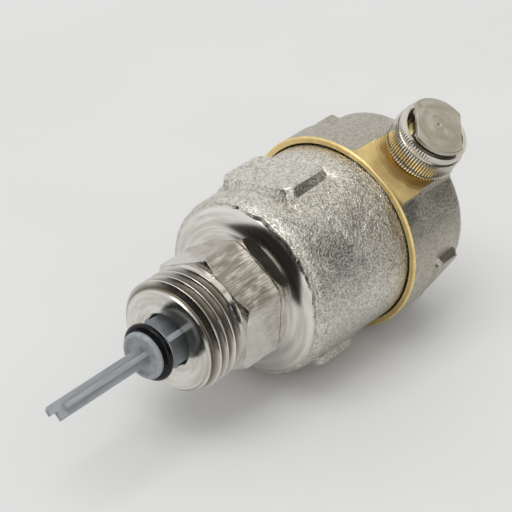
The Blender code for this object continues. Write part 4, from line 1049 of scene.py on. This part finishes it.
class AIRVALVE_OT_cover(bpy.types.Operator):
    """Casts the cover, mills its outlet face and adds the boss and pads"""

    bl_idname = "airvalve.cover"
    bl_label = "Cover"

    def execute(self, context):
        sizes = context.scene.valve_sizes
        colours = context.scene.valve_colours
        top = arc((CROWN_RADIUS - TOP_ROUND, COVER_TOP - TOP_ROUND), (TOP_ROUND, TOP_ROUND),
                  90, 0, 8)
        fillet = arc((CROWN_RADIUS + BAND_FILLET, BAND_TOP + BAND_CHAMFER + BAND_FILLET),
                     (BAND_FILLET, BAND_FILLET), 180, 270, 5)
        form = lathe([
            (0, COVER_TOP),
            *top,
            *fillet,
            (BAND_RADIUS - BAND_CHAMFER, BAND_TOP + BAND_CHAMFER),
            (BAND_RADIUS, BAND_TOP),
            (BAND_RADIUS, MILLED_START),
            (BAND_RADIUS, COVER_RIM + BAND_CHAMFER),
            (BAND_RADIUS - BAND_CHAMFER, COVER_RIM),
            (LAND_BORE, COVER_RIM),
            (LAND_BORE, COUNTERBORE_TOP),
            (THREAD_BORE, COUNTERBORE_TOP + BAND_CHAMFER),
            (THREAD_BORE, COVER_LEDGE),
            (COVER_BORE, COVER_LEDGE),
            (COVER_BORE, COVER_ROOF - ROOF_FILLET),
            (COVER_BORE - ROOF_FILLET, COVER_ROOF),
            (0, COVER_ROOF),
        ], steps=CAST_STEPS, closed=False, row=CAST_ROW, rows=COVER_ROWS)

        def cast_share(corner):
            inner = from_axis(corner) < COVER_SKIN_RADIUS and corner.co.z < COVER_SKIN_HEIGHT
            return 0 if inner or corner.co.z < COVER_ROWS[0] else COVER_SKIN_SHARE

        roughen(form, COVER_LUMP, sizes.cast_relief, cast_share)
        mill_face(form)
        for face in form.faces:
            face.material_index = int(is_rim(face) or is_milled(face))
        pads = [cast_pad(COVER_PAD_PLANE, COVER_PAD_ROOT, (COVER_PAD_HALF, COVER_PAD_TALL),
                         COVER_PAD_MIDDLE, COVER_PAD_CORNER, angle) for angle in COVER_PAD_ANGLES]
        # The cover's darker nickel colours are painted shade
        piece("cover_casting", merge(form, outlet_boss(), *pads), "vent",
              [cast_nickel("cover_cast", colours.cover_shaded_nickel, colours.cover_hollow_shade, grain=0.6),
               milled_brass("face_brass")],
              "cover")
        return {"FINISHED"}


def is_rim(face):
    """True on the cover's lower rim, which is turned to bare brass."""
    return face.calc_center_median().z < COVER_RIM + 2 * MARGIN


def is_milled(face):
    """True on the milled outlet face and its bevelled start."""
    if face.calc_center_median().x < CROWN_RADIUS or face.calc_area() < MILLED_LEAST_AREA:
        return False
    return face.normal.x > 0.6 and abs(face.normal.y) < 0.1


def mill_face(form):
    """Mills the outlet face and its bevelled start off the cover's band."""
    slice_plane(form, (0, 0, MILLED_START), (0, 0, 1))
    for upper, normal in ((True, Vector((1, 0, 0))), (False, Vector((1, 0, 1)).normalized())):
        faces = [face for face in form.faces
                 if (face.calc_center_median().z > MILLED_START) == upper
                 and face.calc_center_median().x > 0]
        geom = set(faces)
        for face in faces:
            geom.update(face.edges)
            geom.update(face.verts)
        slice_plane(form, (MILLED_FACE, 0, MILLED_START), normal, clear=True, geom=list(geom))
    ends = [corner for corner in form.verts
            if corner.is_boundary and abs(corner.co.z - MILLED_START) < WELD
            and abs(corner.co.x - MILLED_FACE) < 5 * WELD]
    bmesh.ops.remove_doubles(form, verts=ends, dist=WELD)
    ends = sorted((corner for corner in ends if corner.is_valid), key=lambda corner: corner.co.y)
    shared = form.edges.get((ends[0], ends[-1])) or form.edges.new((ends[0], ends[-1]))
    for upper in (True, False):
        rim = [wire for wire in form.edges
               if wire.is_boundary and wire is not shared
               and (sum(corner.co.z for corner in wire.verts) / 2 > MILLED_START) == upper]
        bmesh.ops.edgeloop_fill(form, edges=[*rim, shared])
    bmesh.ops.recalc_face_normals(form, faces=form.faces)


def outlet_boss():
    """The block on the crown whose face is milled flush with the band's."""
    form = bmesh.new()
    bmesh.ops.create_cube(form, size=1)
    for corner in form.verts:
        outer = corner.co.x > 0
        half = BOSS_HALF if outer else BOSS_ROOT_HALF
        corner.co = (MILLED_FACE + 2 * WELD if outer else BOSS_ROOT,
                     half if corner.co.y > 0 else -half,
                     BOSS_TOP if corner.co.z > 0 else BAND_TOP + MARGIN)
    top = [wire for wire in form.edges
           if all(corner.co.x > BOSS_ROOT + MM and corner.co.z > BOSS_TOP - MM
                  for corner in wire.verts)]
    soften(form, top, BOSS_FRONT_ROUND, 4)
    sides = [wire for wire in form.edges
             if abs(edge_way(wire).x) > 0.7 and wire.verts[0].co.z > BOSS_TOP - MM]
    soften(form, sides, BOSS_SIDE_ROUND, 4)
    for face in form.faces:
        face.material_index = 1 if face.normal.x > 0.9 else 0
    bmesh.ops.recalc_face_normals(form, faces=form.faces)
    return form


class AIRVALVE_OT_outlet(bpy.types.Operator):
    """Turns the outlet nozzle, and the vent cap's knurled sleeve and flatted plug"""

    bl_idname = "airvalve.outlet"
    bl_label = "Outlet and cap"

    def execute(self, context):
        sizes = context.scene.valve_sizes
        make_nozzle(sizes)
        make_sleeve(sizes)
        make_plug(sizes)
        return {"FINISHED"}


def make_nozzle(sizes):
    """Nozzle: shank, collar, threaded outlet and lip."""
    core = lathe([
        (NOZZLE_LIP, NOZZLE_LIP_END),
        (NOZZLE_LIP, CAP_THREAD_END),
        (NOZZLE_CORE, CAP_THREAD_END),
        (NOZZLE_CORE, COLLAR_HIGH),
        (COLLAR_RADIUS, COLLAR_HIGH),
        (COLLAR_RADIUS, COLLAR_LOW),
        (SHANK_RADIUS, COLLAR_LOW),
        (SHANK_RADIUS, SHANK_GROOVE_END),
        (SHANK_GROOVE, SHANK_GROOVE_END),
        (SHANK_GROOVE, SHANK_GROOVE_START),
        (SHANK_RADIUS, SHANK_GROOVE_START),
        (SHANK_RADIUS, SEAT_FACE + SEAT_CONE),
        (SEAT_RIM, SEAT_FACE),
        (ORIFICE, SEAT_FACE),
        (ORIFICE, MILLED_FACE),
        (OUTLET_BORE, COLLAR_HIGH),
        (OUTLET_BORE, NOZZLE_LIP_END),
    ], steps=SMALL_STEPS, edge=sizes.edge / 2)
    thread = helix(sizes.nozzle_pitch, CAP_THREAD_ROOT, CAP_THREAD, COLLAR_HIGH, CAP_THREAD_END,
                   steps=SMALL_STEPS)

    def most(height):
        return min(CAP_THREAD_LEAST + CAP_THREAD_END - height, CAP_THREAD)

    limit_radius(thread, lambda height: CAP_THREAD_LEAST, most)
    outward(thread)
    whole = merge(core, thread)
    onto_outlet(whole)
    piece("nozzle_turned", whole, "vent",
          [milled_brass("nozzle_brass", 1.2)], "vent_nozzle")


def make_sleeve(sizes):
    """Sleeve of the cap, with a knurl on its lip and band and a fainter one on its ring."""
    edge = CAP_EDGE
    teeth = sizes.knurl_teeth
    form = lathe([
        (CAP_RING_RADIUS - 2 * edge, CAP_RING_END),
        (CAP_RING_RADIUS, CAP_RING_END - 2 * edge),
        (CAP_RING_RADIUS, CAP_GROOVE_END),
        (CAP_GROOVE_RADIUS, CAP_GROOVE_END),
        (CAP_GROOVE_RADIUS, CAP_BAND_END),
        (CAP_BAND_RADIUS - edge, CAP_BAND_END),
        (CAP_BAND_RADIUS, CAP_BAND_END - edge),
        (CAP_BAND_RADIUS, CAP_LIP_END + edge),
        (CAP_BAND_RADIUS - edge, CAP_LIP_END),
        (CAP_LIP_RADIUS - edge, CAP_LIP_END),
        (CAP_LIP_RADIUS, CAP_LIP_END - edge),
        (CAP_LIP_RADIUS, CAP_START + 2 * edge),
        (CAP_LIP_RADIUS - 2 * edge, CAP_START),
        (CAP_BORE, CAP_START),
        (CAP_BORE, CAP_SOCKET_START),
        (CAP_SOCKET_RADIUS, CAP_SOCKET_START),
        (CAP_SOCKET_RADIUS, CAP_RING_END - edge),
        (CAP_SOCKET_RADIUS + edge, CAP_RING_END),
    ], steps=4 * teeth)
    groove_shade = form.verts.layers.float.new("groove_shade")
    for corner in form.verts:
        radius = from_axis(corner)
        if radius < CAP_RING_RADIUS - 1.5 * edge:
            continue
        cut = KNURL_CUT[round(atan2(corner.co.y, corner.co.x) * 4 * teeth / (2 * pi)) % 4]
        depth = sizes.knurl_depth
        if corner.co.z > CAP_BAND_END + edge:
            depth *= RING_KNURL_SHARE
        elif radius < CAP_BAND_RADIUS - 0.5 * edge:
            depth = max(0, depth - (CAP_BAND_RADIUS - radius))
        # Painted shade share in the knurl valleys
        corner[groove_shade] = cut ** 2 * depth / sizes.knurl_depth
        corner.co.xy *= 1 - cut * depth / radius
    form.normal_update()
    onto_outlet(form)
    piece("sleeve_knurled", form, "cap",
          [turned_nickel("sleeve_nickel", outlet=True, groove_shade=True)], "cap_sleeve", weighted=False)


def make_plug(sizes):
    """Plug of the cap: a disc with two flats on a short skirt."""
    skirt = lathe([
        (PLUG_RADIUS, PLUG_DISC_START + PLUG_OVERLAP),
        (PLUG_RADIUS, PLUG_SKIRT_START),
        (PLUG_BORE, PLUG_SKIRT_START),
        (PLUG_BORE, PLUG_DISC_START + PLUG_OVERLAP),
    ])
    for angle in PLUG_FLATS:
        facing = side_facing(angle)
        cut_flat(skirt, facing * PLUG_HALF_FLATS, facing)
    tidy(skirt)
    disc = bmesh.new()
    half_arc = pi / 2 - acos(PLUG_HALF_FLATS / PLUG_DISC_RADIUS)
    outline = []
    for middle in PLUG_ARCS:
        for step in range(PLUG_ARC_STEPS + 1):
            place = side_facing(middle + half_arc * (2 * step / PLUG_ARC_STEPS - 1)) * PLUG_DISC_RADIUS
            outline.append(disc.verts.new((place.x, place.y, PLUG_FACE)))
    pull_out(disc, disc.faces.new(outline), (0, 0, PLUG_DISC_START - PLUG_FACE), keep=True)
    rim = [wire for wire in disc.edges
           if all(corner.co.z > PLUG_FACE - WELD for corner in wire.verts)]
    soften(disc, rim, 2.4 * sizes.edge, 3)
    whole = merge(disc, skirt)
    onto_outlet(whole)
    plug = bpy.context.scene.valve_colours.plug
    piece("plug_flatted", whole, "cap",
          [turned_nickel("plug_nickel", outlet=True, light=plug, dull=0.2, dimple=0.12)],
          "cap_plug", sharp=PLUG_SHARP)


class AIRVALVE_OT_plunger(bpy.types.Operator):
    """Moulds the check plunger and its O-ring"""

    bl_idname = "airvalve.plunger"
    bl_label = "Check plunger"

    def execute(self, context):
        sizes = context.scene.valve_sizes
        colours = context.scene.valve_colours
        edge = sizes.moulded_edge
        core = lathe([
            (0, FLANGE_BACK),
            (FLANGE_RADIUS, FLANGE_BACK),
            (FLANGE_RADIUS, PLUNGER_RING_HEIGHT + RING_GROOVE_HALF),
            (FLANGE_CORE, PLUNGER_RING_HEIGHT + RING_GROOVE_HALF),
            (FLANGE_CORE, PLUNGER_RING_HEIGHT - RING_GROOVE_HALF),
            (FLANGE_RADIUS, PLUNGER_RING_HEIGHT - RING_GROOVE_HALF),
            (FLANGE_RADIUS, FLANGE_FRONT + FLANGE_CHAMFER),
            (FLANGE_RADIUS - FLANGE_CHAMFER, FLANGE_FRONT),
            (POCKET_RADIUS, FLANGE_FRONT),
            (POCKET_RADIUS - FLANGE_CHAMFER, FLANGE_FRONT + POCKET_DEPTH),
            (0, FLANGE_FRONT + POCKET_DEPTH),
        ], steps=SMALL_STEPS, edge=edge * 0.6, closed=False)
        pin = lathe([
            (0, BARB_END),
            (SNAP_RADIUS / 2, BARB_END),
            (BARB_RADIUS, BARB_START),
            (SNAP_RADIUS, BARB_START),
            (SNAP_RADIUS, SNAP_START),
            (0, SNAP_START),
        ], steps=SMALL_STEPS, edge=edge * 0.6, closed=False)
        shapes = [
            slab((-FIN_RADIUS, -FIN_HALF, FIN_ROOT), (FIN_RADIUS, FIN_HALF, FIN_TOP), edge),
            slab((-FIN_HALF, -FIN_RADIUS, FIN_ROOT), (FIN_HALF, FIN_RADIUS, FIN_TOP), edge),
            blade_long(edge),
            slab((-BLADE_HALF, -BLADE_HALF_WIDTH, BLADE_SHORT_TIP),
                 (BLADE_HALF, BLADE_HALF_WIDTH, BLADE_ROOT), edge),
        ]
        for shape in shapes:
            turn_form(shape, BLADE_TURN)
        piece("plunger_moulding", merge(core, pin, *shapes), "plunger",
              [moulded_plastic("plunger_plastic", colours.plastic, colours.plastic_shade, 0.34)],
              "plunger_stem")
        wire = bmesh.new()
        bmesh.ops.create_circle(wire, segments=RING_WIRE_STEPS, radius=PLUNGER_RING_WIRE)
        turn_form(wire, pi / 2, "X")
        bmesh.ops.translate(wire, vec=(PLUNGER_RING_RADIUS, 0, PLUNGER_RING_HEIGHT),
                            verts=wire.verts)
        spin_round(wire, RING_STEPS)
        tidy(wire)
        piece("plunger_seal", wire, "plunger", [oiled_rubber("seal_rubber")],
              "plunger_o_ring", weighted=False)
        return {"FINISHED"}


def blade_long(edge):
    """The long rib of the blade, stepped and notched at its tip."""
    form = bmesh.new()
    outline = [(-BLADE_HALF_WIDTH, BLADE_ROOT),
               (-BLADE_HALF_WIDTH, BLADE_TIP + BLADE_CORNER),
               (-BLADE_HALF_WIDTH + BLADE_CORNER, BLADE_TIP),
               (0, BLADE_TIP),
               (0, BLADE_TIP + BLADE_NOTCH),
               (BLADE_HALF_WIDTH, BLADE_TIP + BLADE_NOTCH),
               (BLADE_HALF_WIDTH, BLADE_ROOT)]
    side = form.faces.new([form.verts.new((x, -BLADE_HALF, z)) for x, z in outline])
    pull_out(form, side, (0, 2 * BLADE_HALF, 0))
    soften(form, form.edges[:], edge)
    return form


class AIRVALVE_OT_inner_parts(bpy.types.Operator):
    """Finishes the pieces inside the valve, whose shapes stay as they were packed"""

    bl_idname = "airvalve.inner_parts"
    bl_label = "Inner pieces"

    def execute(self, context):
        colours = context.scene.valve_colours
        rubber = oiled_rubber("inner_rubber")
        steel = drawn_steel("inner_steel")
        white = moulded_plastic("float_white", colours.float_plastic, colours.float_shade, 0.42, 0.3)
        grey = moulded_plastic("head_plastic", colours.plastic, colours.plastic_shade, 0.4)
        brass = milled_brass("inner_brass", 1.6)
        finishes = {
            "check_spring": steel,
            "plunger_head": grey,
            "spigot_o_ring": rubber,
            "cover_o_ring": rubber,
            "nozzle_o_ring": rubber,
            "nozzle_nut": brass,
            "lever_bracket": steel,
            "lever_pin": steel,
            "bell_crank": brass,
            "obturator_pad": rubber,
            "float_cup": white,
            "float_lid": white,
            "link_pin": steel,
            "cap_seal": rubber,
        }
        for node, finish in finishes.items():
            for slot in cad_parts[node].material_slots:
                slot.material = finish
        return {"FINISHED"}


class AIRVALVE_OT_studio(bpy.types.Operator):
    """Sets the valve on a pale table under soft light, before the camera"""

    bl_idname = "airvalve.studio"
    bl_label = "Studio"

    def execute(self, context):
        studio = context.scene.valve_studio
        low = min(corner.co.dot(TABLE_UP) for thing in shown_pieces() if thing.type == "MESH"
                  for corner in thing.data.vertices)
        make_table(studio, low)
        make_world(studio)
        lamp("key_lamp", TABLE_UP * KEY_HEIGHT + KEY_OFFSET, KEY_SIZE, studio.key)
        lamp("fill_lamp", FILL_OFFSET, FILL_SIZE, studio.fill)
        for name, *settings in SCREENS:
            screen(name, *settings)
        make_camera(studio)
        context.scene.view_settings.view_transform = "Standard"
        return {"FINISHED"}


def make_table(studio, low):
    """A tabletop that shows only from above, so that it hides nothing from below."""
    form = bmesh.new()
    bmesh.ops.create_grid(form, x_segments=8, y_segments=8, size=TABLE_HALF)
    turn = TABLE_UP.to_track_quat("Z", "Y").to_matrix().to_4x4()
    bmesh.ops.transform(form, matrix=turn, verts=form.verts)
    bmesh.ops.translate(form, vec=TABLE_UP * low, verts=form.verts)
    table = put_in_scene(form, "tabletop")
    board = Board("table_laminate")
    cloud = board.cloud(board.millimetres(), 0.02, 3)
    tint = board.mix(board.between(cloud, 0.3, 0.7), studio.table, [c * 0.97 for c in studio.table])
    board.finish(tint, 0.55)
    board.show(board.add("ShaderNodeNewGeometry", output="Backfacing"),
               Wire(board, board.shader.outputs[0]), board.add("ShaderNodeBsdfTransparent"))
    table.data.materials.append(board.owner)
    table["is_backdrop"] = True


def make_world(studio):
    """A pale wall for the camera and for reflections, and an even light for the rest."""
    board = Board("studio_wall", "worlds")
    bpy.context.scene.world = board.owner
    board.feed(board.shader.inputs["Color"], studio.backdrop)
    board.feed(board.shader.inputs["Strength"], studio.ambient)
    wall = board.add("ShaderNodeBackground", None, {"Color": studio.backdrop, "Strength": 1})
    camera, glossy, through = (board.add("ShaderNodeLightPath", output="Is " + kind + " Ray")
                               for kind in ("Camera", "Glossy", "Transmission"))
    board.show(camera + glossy + through, Wire(board, board.shader.outputs[0]), wall)


def screen(name, centre, facing, halves, tint, soft):
    """A soft-edged board that only mirrored rays meet, its numbers in millimetres."""
    form = bmesh.new()
    bmesh.ops.create_grid(form, x_segments=1, y_segments=1, size=1)
    bmesh.ops.scale(form, vec=(halves[0] * MM, halves[1] * MM, 1), verts=form.verts)
    turn = Vector(facing).normalized().to_track_quat("Z", "Y").to_matrix().to_4x4()
    thing = put_in_scene(form, name)
    thing.matrix_world = Matrix.Translation(Vector(centre) * MM) @ turn
    board = Board(name + "_cloth")
    x, y, z = board.parts(board.millimetres())
    side = board.between(abs(x) + z, halves[0] - soft, halves[0])
    end = board.between(abs(y) + z, halves[1] - soft, halves[1])
    board.tree.nodes.remove(board.shader)
    board.show((1 - side) * (1 - end), board.add("ShaderNodeBsdfTransparent"),
               board.add("ShaderNodeEmission", None, {"Color": tint}))
    thing.data.materials.append(board.owner)
    for ray in ("camera", "diffuse", "transmission", "volume_scatter", "shadow"):
        setattr(thing, "visible_" + ray, False)
    thing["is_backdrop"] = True


def lamp(name, offset, size, power):
    """A square lamp that faces the valve's middle from an offset."""
    light = bpy.data.lights.new(name, "AREA")
    light.shape = "SQUARE"
    light.size = size
    light.energy = power
    thing = bpy.data.objects.new(name, light)
    thing.location = VALVE_MIDDLE + offset
    thing.rotation_euler = offset.to_track_quat("Z", "Y").to_euler()
    bpy.context.scene.collection.objects.link(thing)


def make_camera(studio):
    """The camera stands where the photograph was taken from."""
    data = bpy.data.cameras.new("camera")
    data.sensor_fit = "HORIZONTAL"
    data.sensor_width = SENSOR_WIDTH
    data.lens = studio.lens
    data.clip_start = 0.01
    data.clip_end = 20
    thing = bpy.data.objects.new("camera", data)
    turn = Matrix((CAMERA_RIGHT, CAMERA_UP, CAMERA_BACK)).transposed().to_4x4()
    thing.matrix_world = Matrix.Translation(CAMERA_PLACE) @ turn
    bpy.context.scene.collection.objects.link(thing)
    bpy.context.scene.camera = thing


STEPS_IN_ORDER = (AIRVALVE_OT_fitting, AIRVALVE_OT_body, AIRVALVE_OT_cover, AIRVALVE_OT_outlet,
                  AIRVALVE_OT_plunger, AIRVALVE_OT_inner_parts, AIRVALVE_OT_studio)


class AIRVALVE_PT_sidebar(bpy.types.Panel):
    """Sizes, colours and steps of the air release valve"""

    bl_idname = "AIRVALVE_PT_sidebar"
    bl_label = "Air release valve"
    bl_space_type = "VIEW_3D"
    bl_region_type = "UI"
    bl_category = "Air valve"

    def draw(self, context):
        for group in ("valve_sizes", "valve_colours", "valve_studio"):
            settings = getattr(context.scene, group)
            box = self.layout.box()
            for name in type(settings).__annotations__:
                box.prop(settings, name)
        for step in STEPS_IN_ORDER:
            self.layout.operator(step.bl_idname)


CLASSES = (ValveSizes, ValveColours, StudioSettings, *STEPS_IN_ORDER, AIRVALVE_PT_sidebar)


def register():
    """Adds the classes and the settings to Blender."""
    for kind in CLASSES:
        bpy.utils.register_class(kind)
    bpy.types.Scene.valve_sizes = bpy.props.PointerProperty(type=ValveSizes)
    bpy.types.Scene.valve_colours = bpy.props.PointerProperty(type=ValveColours)
    bpy.types.Scene.valve_studio = bpy.props.PointerProperty(type=StudioSettings)


def unregister():
    """Takes the classes and the settings away again."""
    del bpy.types.Scene.valve_studio
    del bpy.types.Scene.valve_colours
    del bpy.types.Scene.valve_sizes
    for kind in reversed(CLASSES):
        bpy.utils.unregister_class(kind)


def main():
    """Runs each step."""
    register()
    bpy.ops.airvalve.fitting()
    bpy.ops.airvalve.body()
    bpy.ops.airvalve.cover()
    bpy.ops.airvalve.outlet()
    bpy.ops.airvalve.plunger()
    bpy.ops.airvalve.inner_parts()
    bpy.ops.airvalve.studio()


if __name__ == "__main__":
    main()
